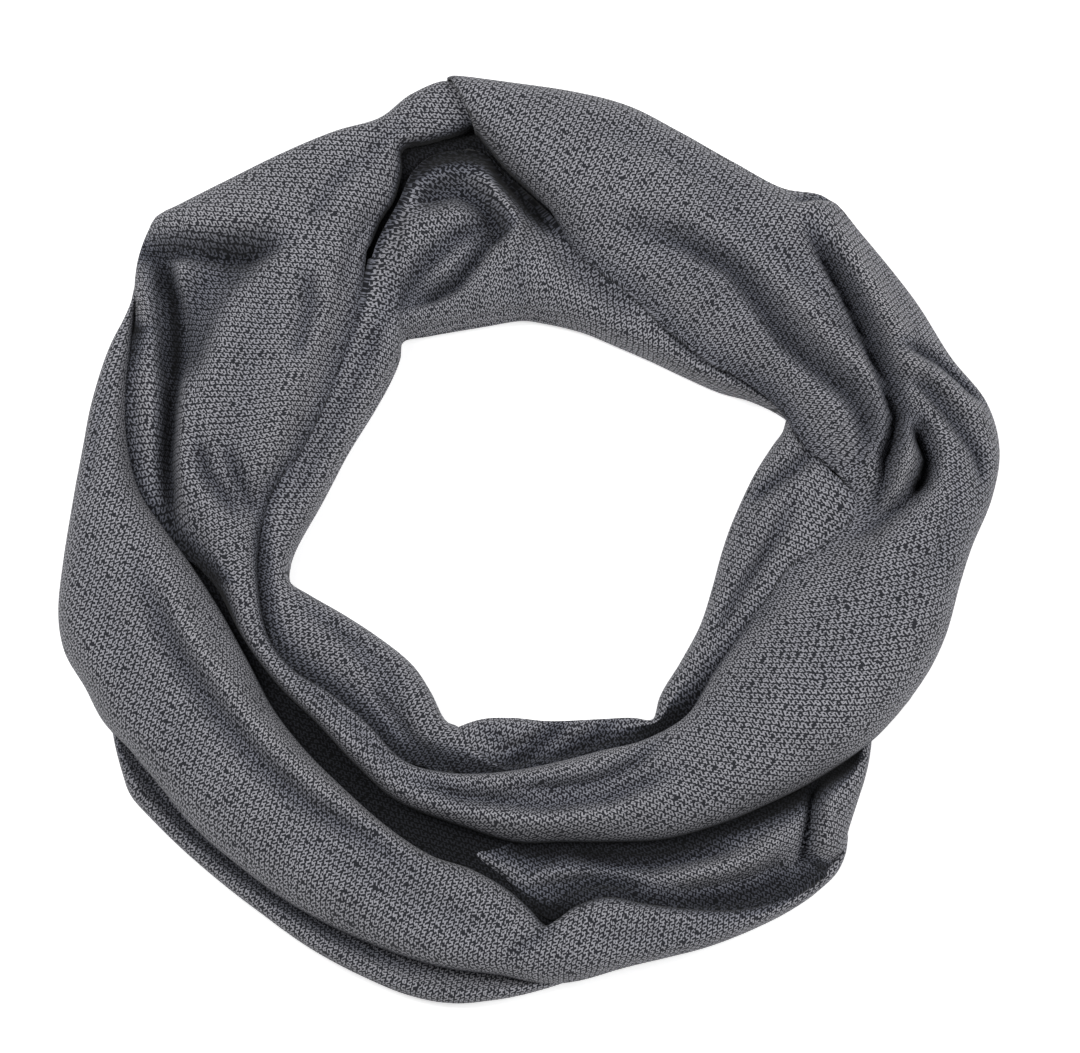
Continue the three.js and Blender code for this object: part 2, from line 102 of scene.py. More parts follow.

# Painted shade where cloth goes down beside or below its neighbour: the light left there, by the height of
# its foot
SEAM_FEET = (12.4, 16, 20, 25)
SEAM_LIGHT = (0.06, 0.3, 0.55, 0.85)
SEAM_START = (3.2, 0.4, 0, 0)
SEAM_REACH = (10.5, 6.5, 6.5, 6.5)
SEAM_LOWEST_FOOT = 5
SEAM_FOOT_ONSET = 5
SLIDING = 0.5
SLIDE_SHARE = 0.7

# The faint unevenness between folds, in millimetres
RIPPLE_WAVES = 9
RIPPLE_LENGTH = 34
RIPPLE_SPREAD = (0.6, 1.7)
RIPPLE_HEIGHT = 0.35

# Grooves in the sides that reach the floor: share of the crest's height, depth, waver and length
SIDE_GROOVES = ((0.30, 1.6, 2.0, 150.0), (0.56, 1.1, 1.6, 95.0))
GROOVE_WAVE = 6
GROOVE_MEAN = 0.55
GROOVE_SWING = 0.45
GROOVE_SWING_LENGTH = 47
GROOVE_HALF_HEIGHT = 1.5
GROOVE_FULL_WIDTH = 45

# The fleck's repeat, counted in threads
ROW_THREADS = 6.0
KEY_THREADS = 6.3
KEY_HEIGHT = 3.0
STROKE_THREADS = 1.3
STROKE_FRAY = 1.0
STEP_THREADS = 1.0
WANDER_THREADS = 3.6

# How far a key leans for each thread down, the share of uprights left out, and the seeds of chance
KEY_SLANT = 0.3
MISSING_UPRIGHTS = 0.07
ROW_SEED = 3.0
UPRIGHT_SEED = 2.0

# Noises over the cloth, by their scale for each metre
WANDER_SCALE = 300.0
YARN_SCALE = 1700.0
PATCH_SCALE = 42.0

# The yarn's light, the patches' light, and the cool tint of the painted shade in deep creases, in red, green
# and blue
YARN_LEAST = 0.4
YARN_SPREAD = 1.1
PATCH_LEAST = 0.86
PATCH_SPREAD = 0.28
PAINTED_SHADE_TINT = (0.90, 0.97, 1.14)

# The knit's relief and finish
FLECK_RELIEF = 0.7
LOOP_RELIEF = 0.15
YARN_RELIEF = 0.5
BUMP_STRENGTH = 0.45
BUMP_THREADS = 0.6
JERSEY_FINISH = {"Roughness": 0.9, "Sheen Weight": 0.06, "Sheen Roughness": 0.6, "Specular IOR Level": 0.15}

# The stage, in metres: each lamp with its place, its disc and its share of the key light's power
FLOOR_SIZE = 12
LAMPS = (("key_light", (-0.64, 0.34, 1.28), 0.6, 1.0), ("fill_light", (0.95, 0.05, 1.15), 0.9, 0.9))
CAMERA_AIM = (0.0037, 0.0010, 0.015)
SIGHT_END = 20.0

# The floor's finish, and the camera's sensor in millimetres
FLOOR_ROUGHNESS = 0.9
SENSOR_WIDTH = 36.0

# A row of a stretch holds its sides towards the hole and the rim, as seen from the eye, the height
# of its crest and of its two feet, and the form of each side: 0 rolled, 1 sliding below, 2 hollow
COLUMNS = ("hole_x", "hole_y", "rim_x", "rim_y", "crest", "hole_foot", "rim_foot", "hole_slide", "rim_slide")
CREST_COLUMN = COLUMNS.index("crest")
FEET_COLUMN = COLUMNS.index("hole_foot")

# From the fold at the top, round the gathered right turn, over the crossing, along the near side
# as the middle ridge, up the left as the wide panel and back under the first fold as the flap
CROSSING_STRAND = [
    (-20.5, 153.5, -31.5, 175.5, 26, 10.3, 0, 0, 0),
    (-17, 149, -25, 175, 28, 10.3, 0, 0, 0),
    (-9, 139, -6, 172.5, 31, 10.3, 0, 0, 0),
    (0, 130, 17, 169, 34, 13, 0, 0, 0),
    (8, 122, 37, 164, 36, 17, 0, 0, 0),
    (20, 105.5, 57, 154, 38, 22, 0, 0.6, 0),
    (38, 95, 78, 142, 39, 23, 0, 1, 0),
    (54, 80, 97, 132, 40, 22.6, 0, 1, 0),
    (71, 67, 113.5, 129, 41, 22, 0, 1, 0),
    (87, 57.5, 127, 114, 42, 18.5, 0, 1, 0),
    (97, 47, 147, 89, 42, 16.5, 0, 0.6, 0),
    (103.5, 37.5, 161, 67, 42, 20.5, 0, 0.8, 0),
    (111, 30, 174, 51, 41, 23.6, 0, 1, 0),
    (120, 23, 179, 33, 41, 25, 0, 1, 0),
    (126, 13, 176, 14, 42, 26, 0, 1, 0),
    (124, 3, 168.5, -4, 44, 26, 0, 1, 0),
    (114, -6, 164, -18, 45, 26, 0, 1, 0),
    (104, -12.5, 158.5, -38, 44, 26, 0, 1, 0),
    (92, -25, 149, -56, 43, 24, 0, 0.7, 0),
    (81, -38, 131, -77, 41, 21, 10.3, 0.4, 0),
    (70, -52, 108, -93, 39, 18, 10.3, 0.2, 0),
    (59, -68, 90, -102, 36, 14.3, 10.3, 0, 0),
    (43, -77, 73, -109, 33, 14, 10.3, 0, 0),
    (27, -81, 51, -115, 31, 15.2, 10.3, 0, 0),
    (12, -85, 29, -116, 30, 16, 10.3, 0, 0),
    (-3, -88, 12, -116, 29, 15, 10.3, 0, 0),
    (-17, -89.5, -5, -116, 28, 14, 10.3, 0, 0),
    (-31, -89, -24, -110.5, 27, 13, 10.3, 0, 0),
    (-48, -84, -50, -100.5, 25, 14, 10.3, 0, 0),
    (-61, -70.5, -65, -87.5, 25, 14, 10.3, 0, 0),
    (-76, -58.5, -81.5, -70, 24, 14, 10.3, 0, 0),
    (-88, -51, -94.5, -57.5, 22, 14, 10.3, 0, 0),
    (-97.5, -39.5, -108, -39.5, 22, 14, 10.3, 0, 0),
    (-102, -20, -118, -18, 24, 15, 13, 0, 0.5),
    (-102.5, -1, -130, -4, 27, 17, 14, 0.3, 1),
    (-98, 17, -138, 6.5, 29, 18, 15, 0.6, 1),
    (-89, 29, -144.5, 15, 31, 19, 16, 0.6, 1),
    (-78, 50, -149.5, 35, 33, 20, 17, 0.6, 1),
    (-72, 66, -151, 53, 34, 20, 17, 0.6, 1),
    (-65, 86, -149.2, 75, 34, 19, 14, 0.5, 0.6),
    (-61, 107, -150.8, 92, 33, 17.5, 0, 0, 0),
    (-59, 112, -149.4, 105, 32, 14, 0, 0, 0),
    (-57.5, 116, -146, 115, 31.5, 10.3, 0, 0, 0),
    (-56, 119.5, -142.3, 121.6, 31, 10.3, 0, 0, 0),
    (-54.5, 122, -137, 124.3, 30.5, 10.3, 0, 0, 0),
    (-51, 127, -122, 132, 29, 10.3, 0, 0, 0),
    (-48, 138, -102, 142, 27, 10.3, 0, 0, 0),
    (-47, 147, -76, 153, 25, 10.3, 0, 0, 0),
    (-38, 149, -58, 159, 23, 10.3, 0, 0, 0),
    (-28, 151.7, -45, 169, 21, 10.3, 0, 0, 0),
    (-22.8, 153.8, -33, 174.0, 20, 10.3, 0, 0, 0),
    (-15.5, 157.3, -24.9, 172, 18.5, 10.3, 3, 0, 0),
    (-8, 159, -14, 171, 17, 10.3, 3, 0, 0),
]

# The other strand, from a point at the left, wide over the lower left, to a point at the right
OUTER_STRAND = [
    (-147.5, 98, -149.6, 97, 11, 4, 0, 0, 0),
    (-148.5, 90, -151.8, 88.5, 14, 6, 0, 0, 0),
    (-149.5, 83, -154.5, 81.5, 18, 7, 0, 0, 0),
    (-150, 75, -157.5, 76.5, 20, 9, 0, 0, 0),
    (-151.8, 53, -166, 52, 27, 10.3, 0, 0, 0),
    (-151.3, 35, -170, 31, 31, 10.3, 0, 0, 0),
    (-146.3, 16, -174, 9, 34, 10.3, 0, 0, 0),
    (-138, 3.5, -177, -9, 36, 10.3, 0, 0, 0),
    (-128, -10, -179, -29, 38, 10.3, 0, 0, 0),
    (-117, -27, -177, -43, 39, 10.3, 0, 0, 0),
    (-106.5, -46, -169, -57, 40, 10.3, 0, 0, 0),
    (-96.5, -65, -162, -70, 40, 10.3, 0, 0, 0),
    (-85, -80, -151.5, -81, 40, 10.3, 7.4, 0, 0),
    (-70, -95, -140, -95, 39, 10.3, 7.4, 0, 0),
    (-53, -110, -127, -110.5, 38, 10.3, 7.4, 0, 0),
    (-36, -121, -109.5, -125.5, 36, 10.3, 7.4, 0, 0),
    (-21, -126, -91, -139, 33, 10.3, 7.4, 0, 0),
    (-7, -134, -70.5, -150, 30, 10.3, 7.4, 0, 0),
    (1, -141, -51, -158, 28, 10.3, 7.4, 0, 0),
    (7, -147, -32, -163.5, 26, 10.3, 7.4, 0, 0),
    (12, -144, -11, -166.5, 25, 10.3, 6.8, 0, 0),
    (17, -140, 4, -169.5, 24.5, 10.3, 4, 0, 0),
    (24, -137, 18, -168.6, 24, 10.3, 0, 0, 0),
    (31, -136, 35, -164, 23, 10.3, 0, 0, 0),
    (44, -138.5, 52, -160, 22, 10.3, 0, 0, 0),
    (62, -140.5, 67, -156, 20, 10.3, 0, 0, 0),
    (80, -140.5, 84, -149.5, 18, 10.3, 0, 0, 0),
    (95, -136.6, 99.5, -141.8, 15, 9, 0, 0, 0),
    (107, -128.6, 110.5, -134.2, 13, 6, 0, 0, 0),
    (114, -123.5, 118.3, -126.4, 11, 4, 0, 0, 0),
    (117, -119, 121, -120.5, 10, 4, 0, 0, 0),
    (119, -112, 122.3, -112.6, 8, 3, 0, 0, 0),
]

# The hole side of the first strand: top, arch, left and lower left
INNER_STRETCH = [
    (99.6, 44.6, 104, 50, 12.5, 0, 12, 0, 1),
    (92, 49.6, 91, 53.4, 13.5, 0, 13, 0, 1),
    (84, 53, 82, 58.6, 16, 0, 15.5, 0, 1),
    (73, 56, 69, 64.5, 19.2, 0, 18.6, 0, 1),
    (59, 62, 56, 73, 20, 0, 19, 0, 1),
    (47, 67.5, 46, 84, 22, 0, 21, 0, 1),
    (34, 73, 30, 95, 23, 0, 22, 0, 1),
    (19, 79, 14, 110.5, 24, 0, 18.5, 0, 1),
    (6, 82, 4, 121.5, 25, 0, 12.6, 0, 1),
    (-4, 83, -10, 134.5, 26, 0, 12.4, 0, 1),
    (-16, 81, -17, 142.5, 27, 0, 12.4, 0, 1),
    (-28, 79, -28, 143.5, 27, 0, 12.3, 0, 1),
    (-39, 77, -38, 141, 26, 0, 12.3, 0, 1),
    (-48, 75, -45, 134, 25, 0, 14, 0, 1),
    (-49, 69, -49, 124.5, 24, 0, 15, 0, 1),
    (-52.5, 60, -57.5, 107, 23, 0, 16.5, 0, 1),
    (-58, 50, -62.5, 86, 22, 0, 19.6, 0, 1),
    (-69, 32, -75, 54, 20.6, 0, 19.4, 0, 1),
    (-79, 13, -92, 23, 19, 0, 18, 0, 1),
    (-88, -3, -99.5, 9, 18, 0, 16, 0, 1),
    (-90.5, -10, -101, -9, 18, 0, 15, 0, 1),
    (-90.5, -16, -99.5, -24, 18, 0, 15, 0, 1),
    (-83, -21, -95.5, -38, 19, 0, 15, 0, 1),
    (-70, -28.5, -86, -49.5, 21, 0, 15, 0, 1),
    (-57, -37, -74.5, -57, 22, 0, 15, 0, 1),
    (-44, -47.5, -59.5, -69, 22, 0, 15, 0, 1),
    (-37, -58, -46.5, -82, 20, 0, 14, 0, 1),
    (-31, -69, -33, -85, 18, 0, 14, 0, 1),
    (-26.8, -71, -25, -86.6, 18, 0, 14, 0, 1),
    (-23, -76.5, -19.5, -88, 18, 6, 14, 0, 1),
    (-17, -82.5, -13, -89.2, 18, 12, 14, 0, 1),
    (-8, -87.8, -6, -90, 16.5, 12, 14, 0, 1),
]

# The hole side at the right, down to the gathers that close the near side of the hole
RIGHT_INNER_STRETCH = [
    (98.0, 47.6, 104, 46.4, 13, 0, 12, 0, 1),
    (96.6, 42.2, 102.5, 38.5, 17, 0, 16.5, 0, 1),
    (92.5, 36.0, 110, 26, 23.5, 0, 23, 0, 1),
    (85, 24, 120.5, 13.5, 26.6, 0, 26, 0, 1),
    (78, 9, 119.5, 2.5, 26, 0, 25, 0, 1),
    (73, -5, 102.5, -10.5, 24, 0, 24, 0, 1),
    (69.5, -18, 91, -23, 23, 0, 23, 0, 1),
    (65, -32, 80, -36, 21, 0, 20, 0, 1),
    (57, -47, 68, -51, 18, 0, 17, 0, 1),
    (49.5, -59.5, 58, -65.5, 16, 0, 13, 0, 1),
    (46.5, -68.3, 50, -72, 13, 0, 11, 0, 1),
    (40, -67.5, 41.5, -76, 15, 0, 13, 0, 1),
    (27, -68, 26.5, -79.5, 18, 0, 14, 0, 1),
    (7, -68.8, 11, -83.5, 20, 0, 15, 0, 1),
    (-7, -67.5, -4, -86.3, 20, 0, 15, 0, 1),
    (-17, -67.8, -14, -87.2, 19, 0, 15, 0, 1),
    (-25.6, -70.4, -25, -86.4, 17, 0, 14, 0, 1),
    (-31, -73, -32, -86.4, 13, 0, 12, 0, 1),
]

# The lower layer that shows in the pocket below the crossing
POCKET_STRETCH = [
    (126, -66, 141.5, -62.5, 11, 9, 0, 1, 0),
    (124, -73, 132, -71.5, 12, 10, 0, 1, 0),
    (123, -80, 130.8, -79, 14, 11, 0, 1, 0),
    (121.5, -84.5, 130, -84.5, 16, 11, 0, 1, 0),
    (118.5, -88, 128.8, -89.5, 19, 12.2, 0, 1, 0),
    (107.5, -95.5, 126, -98.5, 23, 12.2, 0, 1, 0),
    (99, -100.5, 122.3, -110, 25, 12.2, 0, 1, 0),
    (91, -104, 119.3, -120, 24, 12.2, 0, 1, 0),
    (82, -107.7, 109, -126.3, 22, 12.2, 14, 1, 1),
    (73, -111, 94, -135.6, 20, 12.2, 14, 1, 1),
    (61, -114.5, 78, -138.7, 19, 12.2, 14, 1, 1),
    (51, -117.5, 62, -138.7, 18, 12.2, 14, 1, 1),
    (38, -118.5, 44, -136.8, 18, 12.2, 14, 1, 1),
    (27, -118.5, 31, -134, 18, 12.2, 14, 1, 1),
    (14, -118, 20, -135.8, 18, 12.2, 14, 1, 1),
    (2, -118, 10, -142, 17, 11, 12, 1, 1),
    (-11, -117.5, 2, -139.5, 14, 9, 10, 1, 1),
    (-25, -114, -8.5, -131, 10.5, 7, 7, 1, 1),
    (-38, -110.5, -23, -123, 7, 5, 5, 1, 1),
]

# The lip of the lowest layer, past the wide lower-left stretch
LIP_STRETCH = [
    (-152, -66, -160, -68.5, 8, 3, 0, 2, 0),
    (-150.5, -76, -158.2, -78.5, 9, 3, 0, 2, 0),
    (-143.5, -83.5, -155.5, -88.5, 11, 4, 0, 2, 0),
    (-136, -93.5, -152, -97.8, 11.6, 3.8, 0, 2, 0),
    (-129, -101, -144, -106.8, 11.4, 3.4, 0, 2, 0),
    (-120, -107.8, -134.5, -116.3, 11, 3.2, 0, 2, 0),
    (-106.5, -120, -119.3, -129.6, 10.8, 3.2, 0, 2, 0),
    (-88.5, -132.5, -102.2, -142.9, 12, 4, 0, 2, 0),
    (-70.5, -144, -83.2, -156.2, 12.5, 4, 0, 2, 0),
    (-53, -153, -64.2, -166.4, 12.5, 4, 0, 2, 0),
    (-40, -157, -47, -173.6, 12, 4, 0, 2, 0),
    (-26, -160, -30, -177.2, 11.5, 4, 0, 2, 0),
    (-10, -162, -12, -175.8, 11, 4, 0, 2, 0),
    (6, -163, 6, -171.6, 9, 3, 0, 2, 0),
    (16, -163, 17, -168, 6, 2, 0, 2, 0),
]

# The layers that are out of sight, by direction from the middle: degrees, hole and rim radius
HIDDEN_LAYERS = [
    (0, 86, 158),
    (12, 97, 168),
    (20, 109, 167),
    (26, 111, 163),
    (33, 104, 159),
    (40, 98, 157),
    (48, 94, 157),
    (60, 92, 149),
    (75, 92, 154),
    (90, 94, 158),
    (105, 95, 160),
    (121, 101, 158),
    (135, 91, 166),
    (142, 88, 172),
    (152, 86, 163),
    (165, 89, 162),
    (180, 95, 163),
    (190, 98, 167),
    (198, 93, 164),
    (210, 80, 157),
    (225, 75, 154),
    (240, 83, 152),
    (248, 86, 151),
    (255, 82, 151),
    (270, 78, 157),
    (285, 80, 157),
    (300, 88, 163),
    (307, 86, 163),
    (314, 83, 158),
    (322, 81, 151),
    (330, 82, 143),
    (345, 83, 149),
]
HIDDEN_LAYERS_TOP = 10.0
HIDDEN_TOP_POINTS = 6
HIDDEN_STEP = 1.5
# Painted shade: the hidden layers are coloured almost black, as if deep in shadow
HIDDEN_SHADE = 0.05
# The edges of these layers, at the hole and at the rim alike: how far in, and how high
HIDDEN_EDGE = [(1.6, 0), (0, 1.8), (0.2, 3.8), (2.4, 5.2), (4.0, 6.2), (4.6, 8.2), (8, 10)]

# Folds: the depth in millimetres, below zero for a crease and above zero for a ridge; half of the
# reach to each side, where 3 or less makes a crease sharp; the lean, which above zero widens the
# side to the left of the line and narrows the other; then the line as seen from the eye
CROSSING_FOLDS = [
    # Upper right: long folds that gather towards the turn
    (-11, 4.2, 0.2, [
        (40, 113), (58, 107), (76, 97), (86, 85), (95, 73), (106, 62), (119, 51), (126, 41), (131, 29),
    ]),
    (-18, 3.0, 0.3, [
        (104, 112), (111, 100), (118, 88), (124, 76), (129, 64), (134, 52), (137, 43), (136.5, 34),
        (134, 24),
    ]),
    (-3, 5, 0, [(98, 104), (107, 91), (115, 79), (122, 66)]),
    (3, 4, 0, [(96, 92), (106, 79), (116, 66), (125, 56), (131, 46)]),
    (6, 4.5, 0, [(113, 112), (121, 98), (130, 84), (138, 70), (141, 58), (143, 48)]),
    (-10, 2.8, -0.2, [(137, 69), (146, 67), (155, 62), (160, 58), (167, 52), (171, 48)]),
    (5, 3, 0, [(140, 62), (150, 60), (158, 54), (166, 46), (173, 38)]),
    (-9, 2.6, 0, [(141, 55), (149, 52), (155, 45), (162, 36), (168, 28), (170, 18)]),
    (-22, 2.5, 0, [(145, 42), (147, 34), (149.5, 27), (148, 20), (144, 13)]),
    (-8, 2.6, 0, [(147, 20), (143, 13), (138, 8), (129, 2), (119, -3)]),
    (-9, 2.4, 0, [(137, 38), (134, 28), (133, 18), (129, 9), (122, 2)]),
    (5, 2.8, 0, [(143, 44), (140, 34), (140, 24), (137, 14), (130, 6)]),
    (-5, 2.6, 0, [(124, 45), (126, 34), (124, 26), (120, 18)]),
    (-7, 2.0, 0.4, [(99, 123), (107, 125.5), (116, 127)]),
    (2, 3, 0, [(100, 119), (109, 120), (118, 121)]),
    (-3, 5, 0.3, [(22, 150), (45, 143), (68, 131), (90, 117)]),
    (-2.5, 4, 0, [(30, 116), (52, 101), (72, 88), (86, 74)]),
    (-3, 4, 0, [(60, 128), (82, 112), (98, 98), (108, 84)]),
    (-3, 3, 0, [(158, 30), (160, 12), (154, -8), (146, -24)]),
    (-3, 5, 0, [(172, 32), (168, 10), (160, -8), (152, -30)]),
    # The crossing and the near side
    (-3, 7, 0, [(152, 4), (140, -22), (118, -46), (94, -66)]),
    (-2.5, 6, 0, [(128, -14), (106, -36), (84, -58), (62, -78)]),
    (-7, 2.8, 0.2, [(-6, -96), (10, -96), (25, -94), (40, -87), (50, -78)]),
    (-8, 3.0, 0.2, [(-46, -92), (-27, -99), (5, -103), (30, -100), (55, -90)]),
    (3, 3.5, 0, [(-24, -93), (0, -93), (24, -89), (46, -80)]),
    (3, 4, 0, [(-24, -105), (4, -108), (30, -106), (52, -98)]),
    # The middle ridge and the wide panel at the upper left
    (-4, 3, 0, [(-46, -92), (-62, -76), (-76, -63), (-90, -54)]),
    (-20, 3.2, -0.3, [
        (-144, 106), (-137, 100), (-134, 89), (-133, 74), (-134, 58), (-135, 43), (-136, 28),
        (-135.5, 8), (-134, -6),
    ]),
    (-15, 4.2, 0.2, [(-153, 109), (-138, 106.5), (-121, 105), (-104, 104.5), (-92, 109)]),
    (3, 5, 0, [(-146, 114), (-121, 115), (-103, 118), (-91, 124)]),
    (-12, 6, 0, [(-104, 104), (-120, 96), (-127, 82), (-132, 56)]),
    (-13, 4.4, -0.3, [(-141, 105), (-136.5, 98), (-135, 84), (-134.5, 70), (-134.5, 58)]),
    (-5, 4.5, 0, [(-101, 106), (-111, 95), (-117, 84), (-123, 73), (-128, 60)]),
    (3, 4, 0, [(-144, 98), (-143, 80), (-143, 60), (-143, 40), (-142, 24)]),
    (-6, 3, 0, [(-83, 98), (-82, 84), (-85, 73), (-88, 64)]),
    (-8, 2.8, 0, [(-124, 34), (-121, 22), (-115, 14), (-109, 7)]),
    (-7, 2.8, 0, [(-113, 32), (-112, 28), (-109, 19), (-103, 7)]),
    (-3, 6, 0, [(-96, 96), (-102, 70), (-108, 44), (-112, 22)]),
    (3, 5, 0, [(-70, 112), (-76, 86), (-88, 54), (-98, 20)]),
    (-4, 3, 0, [(-62, 142), (-74, 130), (-82, 116)]),
    (-3, 3, 0, [(-45, 156), (-56, 147), (-62, 138)]),
    (-3, 3, 0, [(-57, 122), (-66, 108), (-70, 90)]),
]
OUTER_FOLDS = [
    (5, 4.5, 0, [(-136, -10), (-129, -36), (-117, -52), (-102, -73), (-83, -92), (-60, -107), (-36, -122)]),
    (-7, 4.2, 0, [
        (-148, -12), (-138, -33), (-127, -54), (-115, -71), (-100, -88), (-83, -103), (-64, -114),
        (-40, -130),
    ]),
    (-3, 7, 0, [(-170, 6), (-160, -30), (-142, -64), (-116, -94)]),
    (-3, 5, 0, [(-90, -112), (-64, -128), (-36, -142), (-12, -152)]),
    (-2.5, 4, 0, [(20, -152), (40, -152), (60, -150), (80, -146)]),
    (-3, 3, 0, [(-158, 60), (-163, 36), (-166, 12)]),
    (-4, 2.6, 0, [(10, -146), (4, -152), (-6, -158)]),
]
INNER_FOLDS = [
    (9, 3.6, 0, [
        (-46, 128), (-36, 138), (-28, 141), (-20, 140), (-13, 133.5), (-8.5, 124.5), (-6, 115),
        (-5, 102),
    ]),
    (-13, 4.2, 0, [(-43, 125), (-35, 129), (-27.5, 130.5), (-20, 126), (-14, 120), (-7, 112)]),
    (-12, 2.8, -0.3, [(-4, 118), (-9, 114), (-15, 110), (-20.5, 102), (-27, 94), (-36, 89.5), (-46, 86)]),
    (-9, 3.4, 0, [(-12, 119), (-27.5, 111), (-38.5, 102), (-46, 92), (-50, 82)]),
    (-17, 3.2, 0, [(-15, 142), (-6.4, 133.5), (-0.4, 127.4), (6, 121), (11, 116)]),
    (-3, 3, 0, [(-2, 108), (-4, 96), (-3, 86)]),
    (-4, 4, 0, [(8, 110), (22, 96), (40, 82)]),
    (-4, 3.5, 0, [(-54, 82), (-66, 56), (-80, 30), (-92, 8)]),
    (-3, 3, 0, [(-50, 100), (-55, 84), (-62, 66)]),
    (-4, 3, 0, [(-88, -24), (-70, -38), (-54, -56), (-44, -70)]),
    (-3, 3, 0, [(-74, -34), (-56, -48), (-46, -60)]),
    (-6, 2.2, 0, [(-60, -56), (-50, -68), (-42, -80), (-32, -86)]),
]
RIGHT_INNER_FOLDS = [
    (-8, 2.6, 0, [(108, 32), (100.5, 25), (92, 19), (83, 12)]),
    (-6, 2.4, 0, [(100, 12), (96, 4), (88, -9), (78, -24), (70, -39)]),
    (-2, 3, 0, [(84, 10), (78, -8), (70, -26)]),
    (-14, 2.8, 0, [(14, -70), (6, -76.6), (-2.6, -83), (-11, -88)]),
    (-12, 2.6, 0, [(33, -70), (24, -76), (16, -81), (6, -85)]),
    (-3.4, 8, 0, [(48, -66), (30, -74), (8, -78), (-20, -80)]),
    (-4, 2.4, 0, [(-18, -72), (-8, -80), (2, -84)]),
]
POCKET_FOLDS = [
    (-11, 2.1, 0.3, [(108, -93), (106, -106), (104, -117), (102.6, -127)]),
    (-18, 4.6, 0, [(58, -140), (74, -137), (88, -133), (100, -126)]),
    (-11, 2.6, 0, [(16, -120), (22, -121), (31, -123), (46, -124), (61, -121), (78, -118)]),
    (-9, 3, 0, [(-1, -134), (13, -133), (29, -130), (43, -133)]),
    (-6, 2.2, 0, [(0, -116), (8, -121), (2, -125), (-4, -129)]),
    (3, 3, 0, [(50, -130), (70, -127), (88, -120), (98, -110)]),
    (3, 3, 0, [(113, -95), (113, -108), (111, -120)]),
]
LIP_FOLDS = [
    (-10, 2.6, 0, [
        (-161, -72), (-152, -84), (-141, -97), (-128, -112), (-110, -127), (-92, -140), (-71, -152),
        (-51, -160), (-32, -165),
    ]),
]

# The way the fleck's rows run, in degrees from the X axis, at even steps along each stretch
CROSSING_GRAIN = (90, 86, 80, 70, 54, 36, 20, 6, -10, -40, -80, -120, -150, -165, -168, -165, -160)
OUTER_GRAIN = (88, 90, 90, 90, 92, 100, 110)
INNER_GRAIN = (104, 106, 120, 150, 186, 190, 230, 252, 256)
RIGHT_INNER_GRAIN = (0, -4, -8, -20, -60, -64)
POCKET_GRAIN = (4, -4, -12, -20)
LIP_GRAIN = (90, 90, 96)


def on_floor(x, y):
    """Places as seen from the near side, laid out on the floor."""
    spread = 1 + np.asarray(y) * math.sin(LEAN) / EYE_DISTANCE
    return np.asarray(x) * spread - MIDDLE[0], np.asarray(y) * spread / math.cos(LEAN) - MIDDLE[1]


def smooth(value, low, high):
    """From 0 at low to 1 at high, with soft ends."""
    t = np.clip((value - low) / (high - low), 0, 1)
    return t * t * (3 - 2 * t)


def steps(places):
    """The distance from each place on the floor to the next."""
    return np.hypot(*np.diff(places, axis=0).T)


def refine(rows):
    """A smooth curve through every row, cut at even steps along the stretch."""
    rows = np.array(rows, dtype=float)
    rows[:, 0], rows[:, 1] = on_floor(rows[:, 0], rows[:, 1])
    rows[:, 2], rows[:, 3] = on_floor(rows[:, 2], rows[:, 3])
    apart = np.maximum(0.5 * (steps(rows[:, :2]) + steps(rows[:, 2:4])), SHORTEST_STEP)
    knots = np.concatenate([[0], np.cumsum(apart)])
    at = np.linspace(0, knots[-1], int(knots[-1] / STATION_STEP) + 2)
    slopes = np.gradient(rows, knots, axis=0)
    i = np.clip(np.searchsorted(knots, at, side="right") - 1, 0, len(knots) - 2)
    span = (knots[i + 1] - knots[i])[:, None]
    t = (at - knots[i])[:, None] / span
    curved = (
        (2 * t**3 - 3 * t**2 + 1) * rows[i]
        + (t**3 - 2 * t**2 + t) * span * slopes[i]
        + (3 * t**2 - 2 * t**3) * rows[i + 1]
        + (t**3 - t**2) * span * slopes[i + 1]
    )
    straight = rows[i] * (1 - t) + rows[i + 1] * t
    curved[:, FEET_COLUMN:] = straight[:, FEET_COLUMN:]
    return curved, at


def beside_line(line, x, y):
    """How far every place is from a line, its share of the way along, and 1 where it is on the left."""
    lengths = steps(line)
    travelled = np.concatenate([[0], np.cumsum(lengths)])
    nearest = np.full(x.shape, np.inf)
    along = np.zeros_like(x)
    left = np.zeros_like(x)
    for k, length in enumerate(lengths):
        (ax, ay), (bx, by) = line[k], line[k + 1]
        dx, dy = bx - ax, by - ay
        share = np.clip(((x - ax) * dx + (y - ay) * dy) / length**2, 0, 1)
        away = np.hypot(x - ax - share * dx, y - ay - share * dy)
        closer = away < nearest
        nearest = np.where(closer, away, nearest)
        along = np.where(closer, (travelled[k] + share * length) / travelled[-1], along)
        left = np.where(closer, np.sign(dx * (y - ay) - dy * (x - ax)), left)
    return nearest, along, left


